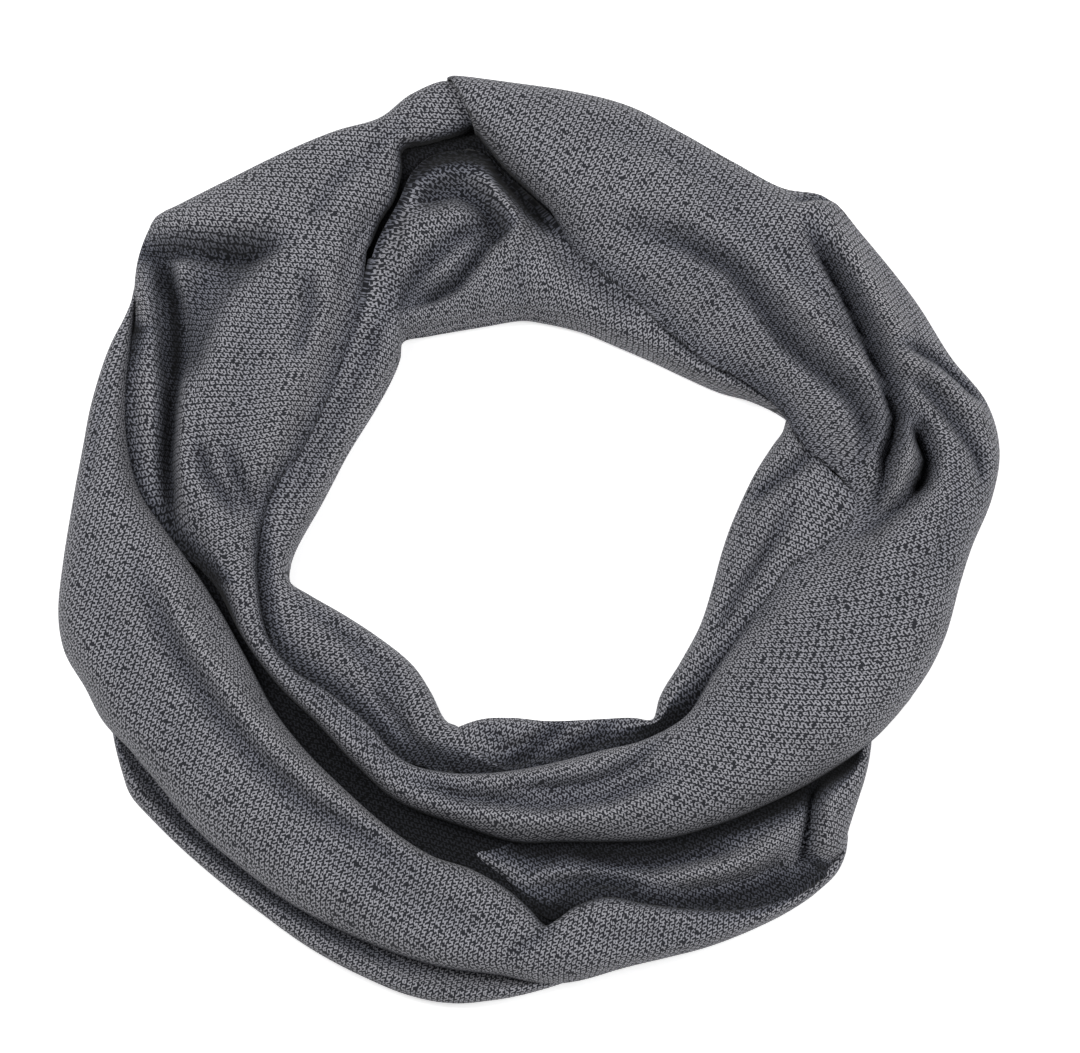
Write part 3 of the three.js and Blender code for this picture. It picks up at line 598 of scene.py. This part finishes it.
def fold_lift(folds, x, y):
    """The lift of all folds at every place, and the painted light share: shade painted into creases,
    highlight painted on ridges.
    """
    lift = np.zeros_like(x)
    gloom = np.zeros_like(x)
    for depth, half, lean, line in folds:
        line = np.array(line, dtype=float)
        line = np.stack(on_floor(line[:, 0], line[:, 1]), axis=1)
        nearest, along, left = beside_line(line, x, y)
        away = nearest / (half * (1 + lean * left))
        ends = smooth(np.minimum(along, 1 - along), *FOLD_END_FADE)
        soft = 1.0 if depth > 0 else float(smooth(half, *SOFT_CREASE_HALVES))
        rounded = (1 - np.clip(away / ROUNDED_REACH, 0, 1) ** 2) ** 2
        sharp = (1 - np.clip(away / SHARP_REACH, 0, 1)) ** 2
        lift += depth * ends * (soft * rounded + (1 - soft) * sharp)
        # Painted shade down in the crease, and a painted highlight along a ridge
        core = (1 - np.clip(away / CREASE_GLOOM_REACH, 0, 1)) ** CREASE_GLOOM_POWER
        gloom += max(-depth - CREASE_GLOOM_FROM, 0) * ends * core * (1 - SOFT_CREASE_LIGHT * soft)
        gloom -= max(depth, 0) * RIDGE_LIGHT * ends * rounded
    return lift, np.exp(-gloom / CREASE_GLOOM_DEPTH)


def edge_curve(width, reach, crest, foot, slide):
    """One edge of every section up to its crest: across, height and how much of a fold it takes."""
    rests = np.clip(1 - foot / RESTING_FOOT, 0, 1)
    tuck = np.minimum(TUCK_LENGTH, TUCK_SHARE_OF_WIDTH * width)
    corner = np.minimum(TUCK_CORNER, TUCK_CORNER_SHARE * tuck)
    start = foot * (1 - rests) + corner * rests
    flat = np.minimum(slide, 1)
    hollow = np.maximum(slide - 1, 0)
    power = 2 / ROLL_SQUARENESS
    angle = math.pi / 2 * (np.arange(POINTS_PER_SIDE) / POINTS_PER_SIDE) ** POINT_CROWDING
    sine, cosine = np.sin(angle), np.cos(angle)
    full = sine**power * (1 - flat) + sine * flat
    rise = full * (1 - hollow) + (1 - cosine) * hollow
    rolled = (1 - cosine**power) * (1 - flat) + 2 * angle / math.pi * flat
    across = reach * rolled - OVERRUN * flat * (1 - sine) ** 3
    height = start + (crest - start) * rise
    # The foot: turned in where it rests on the floor, and otherwise the first bit of the edge
    tucked = np.concatenate([tuck] + [a * corner for a, _ in CORNER_POINTS], axis=1)
    tucked_height = np.concatenate([0 * tuck] + [h * corner for _, h in CORNER_POINTS], axis=1)
    lead = np.linspace(0, LEAD_IN, tucked.shape[1])
    near = across[:, :1] + (across[:, 1:2] - across[:, :1]) * lead
    near_height = height[:, :1] + (height[:, 1:2] - height[:, :1]) * lead
    first = near * (1 - rests) + tucked * rests
    first_height = near_height * (1 - rests) + tucked_height * rests
    across = np.concatenate([first, across], axis=1)
    height = np.concatenate([first_height, height], axis=1)
    take = np.concatenate([np.zeros_like(first), np.minimum(1, FOLD_ONSET * rise)], axis=1)
    return across, height, take


def soft_ripple(x, y, seed):
    """A faint unevenness, as soft cloth has between its folds."""
    rng = np.random.default_rng(seed)
    total = np.zeros_like(x)
    for _ in range(RIPPLE_WAVES):
        angle, phase = rng.uniform(0, 2 * math.pi, 2)
        length = RIPPLE_LENGTH * rng.uniform(*RIPPLE_SPREAD)
        total += np.sin((x * math.cos(angle) + y * math.sin(angle)) * 2 * math.pi / length + phase)
    return RIPPLE_HEIGHT * total / math.sqrt(RIPPLE_WAVES)


def layered_side(across, height, crest, width, stations, seed):
    """Grooves between the layers, on the sides that reach the floor."""
    rng = np.random.default_rng(seed)
    phase = rng.uniform(0, 2 * math.pi, 4)
    stations = stations[:, None]
    for level, depth, waver, length in SIDE_GROOVES:
        middle = level * crest + waver * np.sin(stations / length * GROOVE_WAVE + phase[0])
        shown = GROOVE_MEAN + GROOVE_SWING * np.sin(stations / GROOVE_SWING_LENGTH + phase[1])
        form = np.exp(-(((height - middle) / GROOVE_HALF_HEIGHT) ** 2))
        across = across + depth * shown * np.clip(width / GROOVE_FULL_WIDTH, 0, 1) * form
        phase = np.roll(phase, 1)
    return across


def seam_shade(across, height, foot, slide):
    """Painted shade: the light left on the cloth where it goes down beside or below its neighbour."""
    inside = np.clip((foot - SEAM_LOWEST_FOOT) / SEAM_FOOT_ONSET, 0, 1)
    light = np.interp(foot, SEAM_FEET, SEAM_LIGHT)
    away = np.where(slide > SLIDING, SLIDE_SHARE * (across + OVERRUN), height - foot)
    start = np.interp(foot, SEAM_FEET, SEAM_START)
    reach = np.interp(foot, SEAM_FEET, SEAM_REACH)
    return 1 - inside * (1 - light) * (1 - smooth(away, start, reach))


def cloth_places(points, at, side, grain):
    """Where every point is on the knitted cloth, whose rows run as the grain says."""
    crest = points.shape[1] // 2
    middle = points[:, crest]
    travel = np.gradient(middle[:, :2], axis=0)
    heading = np.unwrap(np.arctan2(travel[:, 1], travel[:, 0]))
    turned = np.radians(np.interp(at / at[-1], np.linspace(0, 1, len(grain)), grain))
    # The crest's own run on the cloth
    bend = heading - turned
    halfway = 0.5 * (bend[1:] + bend[:-1])
    moved = np.stack([np.cos(halfway), np.sin(halfway)], axis=1) * steps(middle[:, :2])[:, None]
    run = np.concatenate([[[0, 0]], np.cumsum(moved, axis=0)])
    # The way down both sides, evened out so that the knit doesn't shear where a fold begins
    lengths = np.linalg.norm(np.diff(points, axis=1), axis=2)
    pad = EVENED_STATIONS + 1
    padded = np.pad(lengths, ((pad, pad), (0, 0)), "edge")
    shifts = range(-EVENED_STATIONS, EVENED_STATIONS + 1, 2)
    lengths = np.mean([np.roll(padded, shift, axis=0)[pad:-pad] for shift in shifts], axis=0)
    out = np.concatenate([np.zeros((len(at), 1)), np.cumsum(lengths, axis=1)], axis=1)
    out -= out[:, crest][:, None]
    lean = np.arctan2(side[:, 1], side[:, 0]) - turned
    return run[:, None, :] + out[:, :, None] * np.stack([np.cos(lean), np.sin(lean)], axis=1)[:, None, :]


def cloth_grid(rows, folds, grain, seed, crest_share=0.5):
    """Points of the cloth's face and their places on the cloth, in metres, and the painted shade there, as
    the light left.
    """
    stations, at = refine(rows)
    hole, rim = stations[:, :2], stations[:, 2:4]
    section = (stations[:, k : k + 1] for k in range(CREST_COLUMN, len(COLUMNS)))
    crest, hole_foot, rim_foot, hole_slide, rim_slide = section
    step = rim - hole
    full = np.hypot(*step.T)[:, None]
    width = full - 2 * SEAM_CLEARANCE
    a_hole, h_hole, t_hole = edge_curve(width, width * crest_share, crest, hole_foot, hole_slide)
    a_rim, h_rim, t_rim = edge_curve(width, width * (1 - crest_share), crest, rim_foot, rim_slide)
    a_hole = np.where(hole_foot < FLOOR_FOOT, layered_side(a_hole, h_hole, crest, width, at, seed), a_hole)
    a_rim = np.where(rim_foot < FLOOR_FOOT, layered_side(a_rim, h_rim, crest, width, at, seed + 1), a_rim)
    across = np.concatenate([a_hole, width * crest_share, (width - a_rim)[:, ::-1]], axis=1)
    height = np.concatenate([h_hole, crest, h_rim[:, ::-1]], axis=1)
    take = np.concatenate([t_hole, np.ones_like(crest), t_rim[:, ::-1]], axis=1)
    share = (across + SEAM_CLEARANCE) / full
    x = hole[:, :1] + step[:, :1] * share
    y = hole[:, 1:] + step[:, 1:] * share
    lift, shade = fold_lift(folds, x, y)
    folded = height + take * (lift + soft_ripple(x, y, seed))
    height = np.maximum(folded, np.minimum(height, HIDDEN_LAYERS_TOP + FOLD_CLEARANCE))
    # Painted shade: crease shade fades in up each side, and seams are darkened where the cloth goes below
    # its neighbour
    shade = 1 - (1 - shade) * np.clip(take * SHADE_ONSET, 0, 1)
    shade[:, : a_hole.shape[1]] *= seam_shade(a_hole, h_hole, hole_foot, hole_slide)
    shade[:, -a_rim.shape[1] :] *= seam_shade(a_rim, h_rim, rim_foot, rim_slide)[:, ::-1]
    end = np.clip(1 - np.minimum(at, at[-1] - at) / END_ROUNDING, 0, 1)
    drop = END_ROUNDING * (1 - np.sqrt(1 - end**2))
    height = np.maximum(height - drop[:, None] * np.clip(height / FULL_DROP_HEIGHT, 0, 1), 0)
    points = np.stack([x, y, height], axis=2)
    cloth = cloth_places(points, at, step / full, grain)
    return points / PER_METRE, cloth / PER_METRE, shade


def finish_mesh(mesh, cloth, shade, material):
    """UV maps of the places on the cloth and of the painted shade, the light left there, on a smooth
    surface.
    """
    corners = np.empty(len(mesh.loops), dtype=np.int32)
    mesh.loops.foreach_get("vertex_index", corners)
    # The painted shade goes into the second UV map, which darkens the base colour
    depth = np.stack([shade, np.zeros(shade.size)], axis=1)
    for name, places in (("Cloth", cloth), ("Depth", depth)):
        layer = mesh.uv_layers.new(name=name)
        layer.data.foreach_set("uv", places[corners].astype(np.float32).ravel())
    mesh.polygons.foreach_set("use_smooth", np.ones(len(mesh.polygons), dtype=bool))
    mesh.materials.append(material)


def sheet_mesh(name, points, cloth, shade, wall, material):
    """A cloth wall with its face on the given points."""
    rows, columns = points.shape[:2]
    index = np.arange(rows * columns).reshape(rows, columns)
    quads = np.stack([index[:-1, :-1], index[1:, :-1], index[1:, 1:], index[:-1, 1:]], axis=2)
    quads = quads.reshape(-1, 4)
    places = points.reshape(-1, 3)
    a, b, c = (places[quads[:, k]] for k in (0, 1, 2))
    if np.cross(b - a, c - a)[:, 2].sum() < 0:
        quads = quads[:, ::-1]
    mesh = bpy.data.meshes.new(name)
    mesh.from_pydata(places.tolist(), [], quads.tolist())
    finish_mesh(mesh, cloth.reshape(-1, 2), shade.ravel(), material)
    piece = bpy.data.objects.new(name, mesh)
    bpy.context.scene.collection.objects.link(piece)
    solid = piece.modifiers.new("Cloth wall", "SOLIDIFY")
    solid.thickness = wall
    solid.offset = -1
    bpy.context.view_layer.update()
    shaped = bpy.data.meshes.new_from_object(piece.evaluated_get(bpy.context.evaluated_depsgraph_get()))
    piece.modifiers.clear()
    piece.data = shaped
    shaped.name = name
    bpy.data.meshes.remove(mesh)
    return piece


class Term:
    """A shader value that is worked out with ordinary arithmetic."""

    def __init__(self, weave, socket):
        self.weave = weave
        self.socket = socket

    def _math(self, operation, *values):
        return self.weave.math(operation, *values)

    def __add__(self, other):
        return self._math("ADD", self, other)

    __radd__ = __add__

    def __sub__(self, other):
        return self._math("SUBTRACT", self, other)

    def __rsub__(self, other):
        return self._math("SUBTRACT", other, self)

    def __mul__(self, other):
        return self._math("MULTIPLY", self, other)

    __rmul__ = __mul__

    def __truediv__(self, other):
        return self._math("DIVIDE", self, other)

    def __rtruediv__(self, other):
        return self._math("DIVIDE", other, self)

    def __mod__(self, other):
        return self._math("FLOORED_MODULO", self, other)

    def __rmod__(self, other):
        return self._math("FLOORED_MODULO", other, self)

    def __lt__(self, other):
        return self._math("LESS_THAN", self, other)

    def __gt__(self, other):
        return self._math("GREATER_THAN", self, other)

    def floor(self):
        return self._math("FLOOR", self)

    def sin(self):
        return self._math("SINE", self)


class ClothShader:
    """A material's nodes, added by type, settings and inputs."""

    def __init__(self, name):
        self.material = bpy.data.materials.new(name)
        self.material.use_nodes = True
        self.tree = self.material.node_tree
        self.tree.nodes.clear()

    def node(self, kind, settings=None, inputs=None):
        made = self.tree.nodes.new(kind)
        for key, value in (settings or {}).items():
            setattr(made, key, value)
        for key, value in (inputs or {}).items():
            self.feed(made.inputs[key], value)
        return made

    def feed(self, socket, value):
        if isinstance(value, Term):
            value = value.socket
        if isinstance(value, bpy.types.NodeSocket):
            self.tree.links.new(value, socket)
        else:
            socket.default_value = value

    def math(self, operation, *values):
        made = self.node("ShaderNodeMath", {"operation": operation}, dict(enumerate(values)))
        return Term(self, made.outputs[0])

    def mix_colour(self, factor, a, b):
        made = self.node("ShaderNodeMix", {"data_type": "RGBA"}, {0: factor, 6: a, 7: b})
        return made.outputs[2]

    def vector(self, operation, a, b):
        made = self.node("ShaderNodeVectorMath", {"operation": operation}, {0: a, 1: b})
        return made.outputs[0]

    def chance(self, column, row, seed):
        """A number from 0 to 1 for each cell of the chart."""
        cell = self.node("ShaderNodeCombineXYZ", {}, {0: column, 1: row, 2: seed}).outputs[0]
        return Term(self, self.node("ShaderNodeTexWhiteNoise", {}, {"Vector": cell}).outputs["Value"])

    def noise(self, place, scale, detail):
        inputs = {"Vector": place, "Scale": scale, "Detail": detail}
        return self.node("ShaderNodeTexNoise", {}, inputs).outputs

    def finish(self, colour, height, strength, distance, fixed):
        inputs = {"Strength": strength, "Distance": distance, "Height": height}
        normal = self.node("ShaderNodeBump", {}, inputs).outputs[0]
        inputs = {"Base Color": colour, "Normal": normal} | fixed
        surface = self.node("ShaderNodeBsdfPrincipled", {}, inputs).outputs[0]
        self.node("ShaderNodeOutputMaterial", {}, {"Surface": surface})
        return self.material


def fleck_chart(shader, place, thread):
    """Where the light yarn shows: rows of keys that step down on their way, some uprights left out."""
    wander = shader.vector("SUBTRACT", shader.noise(place, WANDER_SCALE, 1.0)["Color"], (0.5, 0.5, 0.5))
    wander = shader.vector("MULTIPLY", wander, (thread * WANDER_THREADS,) * 3)
    parts = shader.node("ShaderNodeSeparateXYZ", {}, {0: shader.vector("ADD", place, wander)})
    along = Term(shader, parts.outputs[0]) / thread
    down = Term(shader, parts.outputs[1]) / thread
    row = (down / ROW_THREADS).floor()
    pace = along + KEY_SLANT * down + KEY_THREADS * shader.chance(row, 0.0, ROW_SEED)
    half = (pace / (KEY_THREADS / 2)).floor()
    inside = (down + STEP_THREADS * half) % ROW_THREADS
    yarn = Term(shader, shader.noise(place, YARN_SCALE, 1.0)["Fac"])
    stroke = STROKE_THREADS + STROKE_FRAY * (yarn - 0.5)
    rise = inside - KEY_HEIGHT * (half % 2)
    level = (rise > 0) * (rise < stroke)
    joined = shader.chance(half, row, UPRIGHT_SEED) > MISSING_UPRIGHTS
    upright = (pace - KEY_THREADS / 2 * half < stroke) * (inside < KEY_HEIGHT + stroke) * joined
    return shader.math("MAXIMUM", level, upright), along, down, yarn


def fleck_jersey(settings, name="Fleck jersey"):
    """Light grey keys on charcoal, uneven as spun yarn is, with painted shade, darker and cooler, down in
    the folds.
    """
    shader = ClothShader(name)
    place = shader.node("ShaderNodeUVMap", {"uv_map": "Cloth"}).outputs[0]
    light, along, down, yarn = fleck_chart(shader, place, settings.thread)
    light = light * (YARN_LEAST + YARN_SPREAD * yarn)
    colour = shader.mix_colour(light, (*settings.ground, 1), (*settings.fleck, 1))
    # Painted shade from its UV map, with random patches of tone, darkens the colour and turns it bluer in
    # deep creases
    depth = shader.node("ShaderNodeUVMap", {"uv_map": "Depth"}).outputs[0]
    depth = Term(shader, shader.node("ShaderNodeSeparateXYZ", {}, {0: depth}).outputs[0])
    patch = Term(shader, shader.noise(place, PATCH_SCALE, 2.0)["Fac"])
    shade = depth * (PATCH_LEAST + PATCH_SPREAD * patch)
    tinted = {k: shade * (tint + (1 - tint) * depth) for k, tint in enumerate(PAINTED_SHADE_TINT)}
    colour = shader.vector("MULTIPLY", colour, shader.node("ShaderNodeCombineXYZ", {}, tinted).outputs[0])
    loops = (along * math.pi).sin() * (down * math.pi).sin()
    relief = light * FLECK_RELIEF + loops * LOOP_RELIEF + yarn * YARN_RELIEF
    return shader.finish(colour, relief, BUMP_STRENGTH, settings.thread * BUMP_THREADS, JERSEY_FINISH)


class ScarfCloth(PropertyGroup):
    """The cloth of the scarf."""

    wall: FloatProperty(
        name="Cloth thickness",
        description="Thickness of the jersey",
        default=0.0013,
        min=0.0005,
        max=0.003,
        unit="LENGTH",
    )
    thread: FloatProperty(
        name="Thread spacing",
        description="Distance between threads of the fleck",
        default=0.00038,
        min=0.0001,
        unit="LENGTH",
    )
    ground: FloatVectorProperty(
        name="Ground colour",
        description="Charcoal of the ground",
        default=(0.021, 0.022, 0.027),
        size=3,
        subtype="COLOR",
    )
    fleck: FloatVectorProperty(
        name="Fleck colour",
        description="Light grey of the flecks",
        default=(0.322, 0.321, 0.350),
        size=3,
        subtype="COLOR",
    )


class ScarfStage(PropertyGroup):
    """Floor, light and camera."""

    floor: FloatVectorProperty(
        name="Floor colour", description="Pale floor", default=(0.90, 0.90, 0.90), size=3, subtype="COLOR"
    )
    floor_glow: FloatProperty(
        name="Floor glow",
        description="Light that the backlit white floor gives of its own",
        default=0.55,
        min=0.0,
    )
    light_power: FloatProperty(
        name="Key light", description="Power of the large soft light", default=12.3, min=0.0
    )
    sky: FloatProperty(
        name="Fill light", description="Strength of the even light all round", default=0.31, min=0.0
    )
    lens: FloatProperty(name="Lens", description="Focal length in millimetres", default=132.1, min=20.0)


def add_stretch(context, name, rows, folds, grain, seed, nodes, crest_share=0.5):
    """Lays one stretch of cloth, in place of its solids."""
    settings = context.scene.scarf_cloth
    material = bpy.data.materials.get("Fleck jersey") or fleck_jersey(settings)
    points, cloth, shade = cloth_grid(rows, folds, grain, seed, crest_share)
    piece = sheet_mesh(name, points, cloth, shade, settings.wall, material)
    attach(piece, "root")
    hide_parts(*nodes)


class SCARF_OT_hidden_folds(Operator):
    """Add the rounded heap of layers that the visible cloth lies on"""

    bl_idname = "scarf.add_hidden_folds"
    bl_label = "Hidden folds"

    def execute(self, context):
        first = HIDDEN_LAYERS[0]
        degrees, holes, rims = np.array(HIDDEN_LAYERS + [(first[0] + 360, *first[1:])], dtype=float).T
        inset, level = np.array(HIDDEN_EDGE, dtype=float).T
        height = np.concatenate([level, np.full(HIDDEN_TOP_POINTS, HIDDEN_LAYERS_TOP), level[::-1]])
        rings = []
        for direction in np.arange(0, 360, HIDDEN_STEP):
            low = np.interp(direction, degrees, holes) + inset
            high = (np.interp(direction, degrees, rims) - inset)[::-1]
            between = np.linspace(low[-1], high[0], HIDDEN_TOP_POINTS + 2)[1:-1]
            radius = np.concatenate([low, between, high])
            angle = math.radians(direction)
            x, y = on_floor(radius * math.cos(angle), radius * math.sin(angle))
            rings.append(np.stack([x, y, height], axis=1))
        points = np.array(rings) / PER_METRE
        places = points.reshape(-1, 3)
        index = np.arange(len(places)).reshape(points.shape[:2])
        turns = ((0, 0), (-1, 0), (-1, -1), (0, -1))
        faces = np.stack([np.roll(index, turn, axis=(0, 1)) for turn in turns], axis=2).reshape(-1, 4)
        mesh = bpy.data.meshes.new("hidden_folds")
        mesh.from_pydata(places.tolist(), [], faces.tolist())
        # Painted shade: the hidden heap is coloured almost black, as if deep in shadow
        jersey = fleck_jersey(context.scene.scarf_cloth, "Inner jersey")
        finish_mesh(mesh, places[:, :2], np.full(len(places), HIDDEN_SHADE), jersey)
        piece = bpy.data.objects.new("hidden_folds", mesh)
        context.scene.collection.objects.link(piece)
        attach(piece, "root")
        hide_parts("hidden_layers")
        return {"FINISHED"}


class SCARF_OT_crossing_strand(Operator):
    """Add the strand that lies on top, all the way from its fold to its flap"""

    bl_idname = "scarf.add_crossing_strand"
    bl_label = "Crossing strand"

    def execute(self, context):
        add_stretch(
            context,
            "crossing_strand",
            CROSSING_STRAND,
            CROSSING_FOLDS,
            CROSSING_GRAIN,
            seed=3,
            nodes=("upper_right_stretch", "upper_left_stretch"),
        )
        return {"FINISHED"}


class SCARF_OT_outer_strand(Operator):
    """Add the wide stretch at the lower left and the lip of the layer below it"""

    bl_idname = "scarf.add_outer_strand"
    bl_label = "Outer strand"

    def execute(self, context):
        add_stretch(
            context,
            "outer_strand",
            OUTER_STRAND,
            OUTER_FOLDS,
            OUTER_GRAIN,
            seed=11,
            nodes=("outer_left_stretch",),
        )
        add_stretch(
            context,
            "lowest_lip",
            LIP_STRETCH,
            LIP_FOLDS,
            LIP_GRAIN,
            seed=17,
            nodes=("under_layer_lip",),
            crest_share=LIP_CREST_SHARE,
        )
        return {"FINISHED"}


class SCARF_OT_hole_side(Operator):
    """Add the two stretches that line the hole"""

    bl_idname = "scarf.add_hole_side"
    bl_label = "Hole side"

    def execute(self, context):
        add_stretch(
            context,
            "inner_lining_stretch",
            INNER_STRETCH,
            INNER_FOLDS,
            INNER_GRAIN,
            seed=23,
            nodes=("inner_stretch",),
        )
        add_stretch(
            context,
            "right_lining_stretch",
            RIGHT_INNER_STRETCH,
            RIGHT_INNER_FOLDS,
            RIGHT_INNER_GRAIN,
            seed=29,
            nodes=("right_inner_stretch",),
        )
        return {"FINISHED"}


class SCARF_OT_pocket(Operator):
    """Add the lower layer that shows in the pocket below the crossing"""

    bl_idname = "scarf.add_pocket"
    bl_label = "Pocket layer"

    def execute(self, context):
        add_stretch(
            context,
            "pocket_layer",
            POCKET_STRETCH,
            POCKET_FOLDS,
            POCKET_GRAIN,
            seed=37,
            nodes=("bottom_right_stretch",),
        )
        return {"FINISHED"}


class SCARF_OT_stage(Operator):
    """Add the pale floor, the soft light and the camera"""

    bl_idname = "scarf.add_stage"
    bl_label = "Floor, light and camera"

    def execute(self, context):
        settings = context.scene.scarf_stage
        context.scene.view_settings.view_transform = "Standard"
        bpy.ops.mesh.primitive_plane_add(size=FLOOR_SIZE, location=(0, 0, 0))
        floor = context.object
        floor.name = "pale_floor"
        shader = ClothShader("Pale floor")
        white = (*settings.floor, 1)
        glow = {"Emission Color": white, "Emission Strength": settings.floor_glow}
        inputs = {"Base Color": white, "Roughness": FLOOR_ROUGHNESS} | glow
        surface = shader.node("ShaderNodeBsdfPrincipled", {}, inputs).outputs[0]
        shader.node("ShaderNodeOutputMaterial", {}, {"Surface": surface})
        floor.data.materials.append(shader.material)
        world = bpy.data.worlds.new("Even light")
        world.use_nodes = True
        background = world.node_tree.nodes["Background"]
        background.inputs["Color"].default_value = (1.0, 1.0, 1.0, 1)
        background.inputs["Strength"].default_value = settings.sky
        context.scene.world = world
        for name, place, size, share in LAMPS:
            light = bpy.data.lights.new(name, "AREA")
            light.shape = "DISK"
            light.size = size
            light.energy = settings.light_power * share
            lamp = bpy.data.objects.new(name, light)
            lamp.location = place
            lamp.rotation_euler = (-Vector(place)).to_track_quat("-Z", "Y").to_euler()
            context.scene.collection.objects.link(lamp)
        camera = bpy.data.cameras.new("camera")
        camera.lens = settings.lens
        camera.sensor_width = SENSOR_WIDTH
        camera.sensor_fit = "HORIZONTAL"
        camera.clip_end = SIGHT_END
        holder = bpy.data.objects.new("camera", camera)
        context.scene.collection.objects.link(holder)
        forward = Vector((0, math.sin(LEAN), -math.cos(LEAN)))
        holder.location = Vector(CAMERA_AIM) - forward * (EYE_DISTANCE / PER_METRE)
        holder.rotation_euler = forward.to_track_quat("-Z", "Y").to_euler()
        context.scene.camera = holder
        return {"FINISHED"}


class SCARF_PT_panel(Panel):
    """Everything that makes up the scarf"""

    bl_label = "Infinity scarf"
    bl_idname = "SCARF_PT_panel"
    bl_space_type = "VIEW_3D"
    bl_region_type = "UI"
    bl_category = "Scarf"

    def draw(self, context):
        layout = self.layout
        for group in (context.scene.scarf_cloth, context.scene.scarf_stage):
            box = layout.box()
            for key in group.__annotations__:
                box.prop(group, key)
        for operator in OPERATORS:
            layout.operator(operator.bl_idname)


OPERATORS = (
    SCARF_OT_stage,
    SCARF_OT_hidden_folds,
    SCARF_OT_crossing_strand,
    SCARF_OT_outer_strand,
    SCARF_OT_hole_side,
    SCARF_OT_pocket,
)
CLASSES = (ScarfCloth, ScarfStage) + OPERATORS + (SCARF_PT_panel,)


def register():
    for item in CLASSES:
        bpy.utils.register_class(item)
    bpy.types.Scene.scarf_cloth = PointerProperty(type=ScarfCloth)
    bpy.types.Scene.scarf_stage = PointerProperty(type=ScarfStage)


def unregister():
    del bpy.types.Scene.scarf_stage
    del bpy.types.Scene.scarf_cloth
    for item in reversed(CLASSES):
        bpy.utils.unregister_class(item)


def main():
    register()
    for operator in OPERATORS:
        family, action = operator.bl_idname.split(".")
        getattr(getattr(bpy.ops, family), action)()
    bpy.context.view_layer.update()


if __name__ == "__main__":
    main()
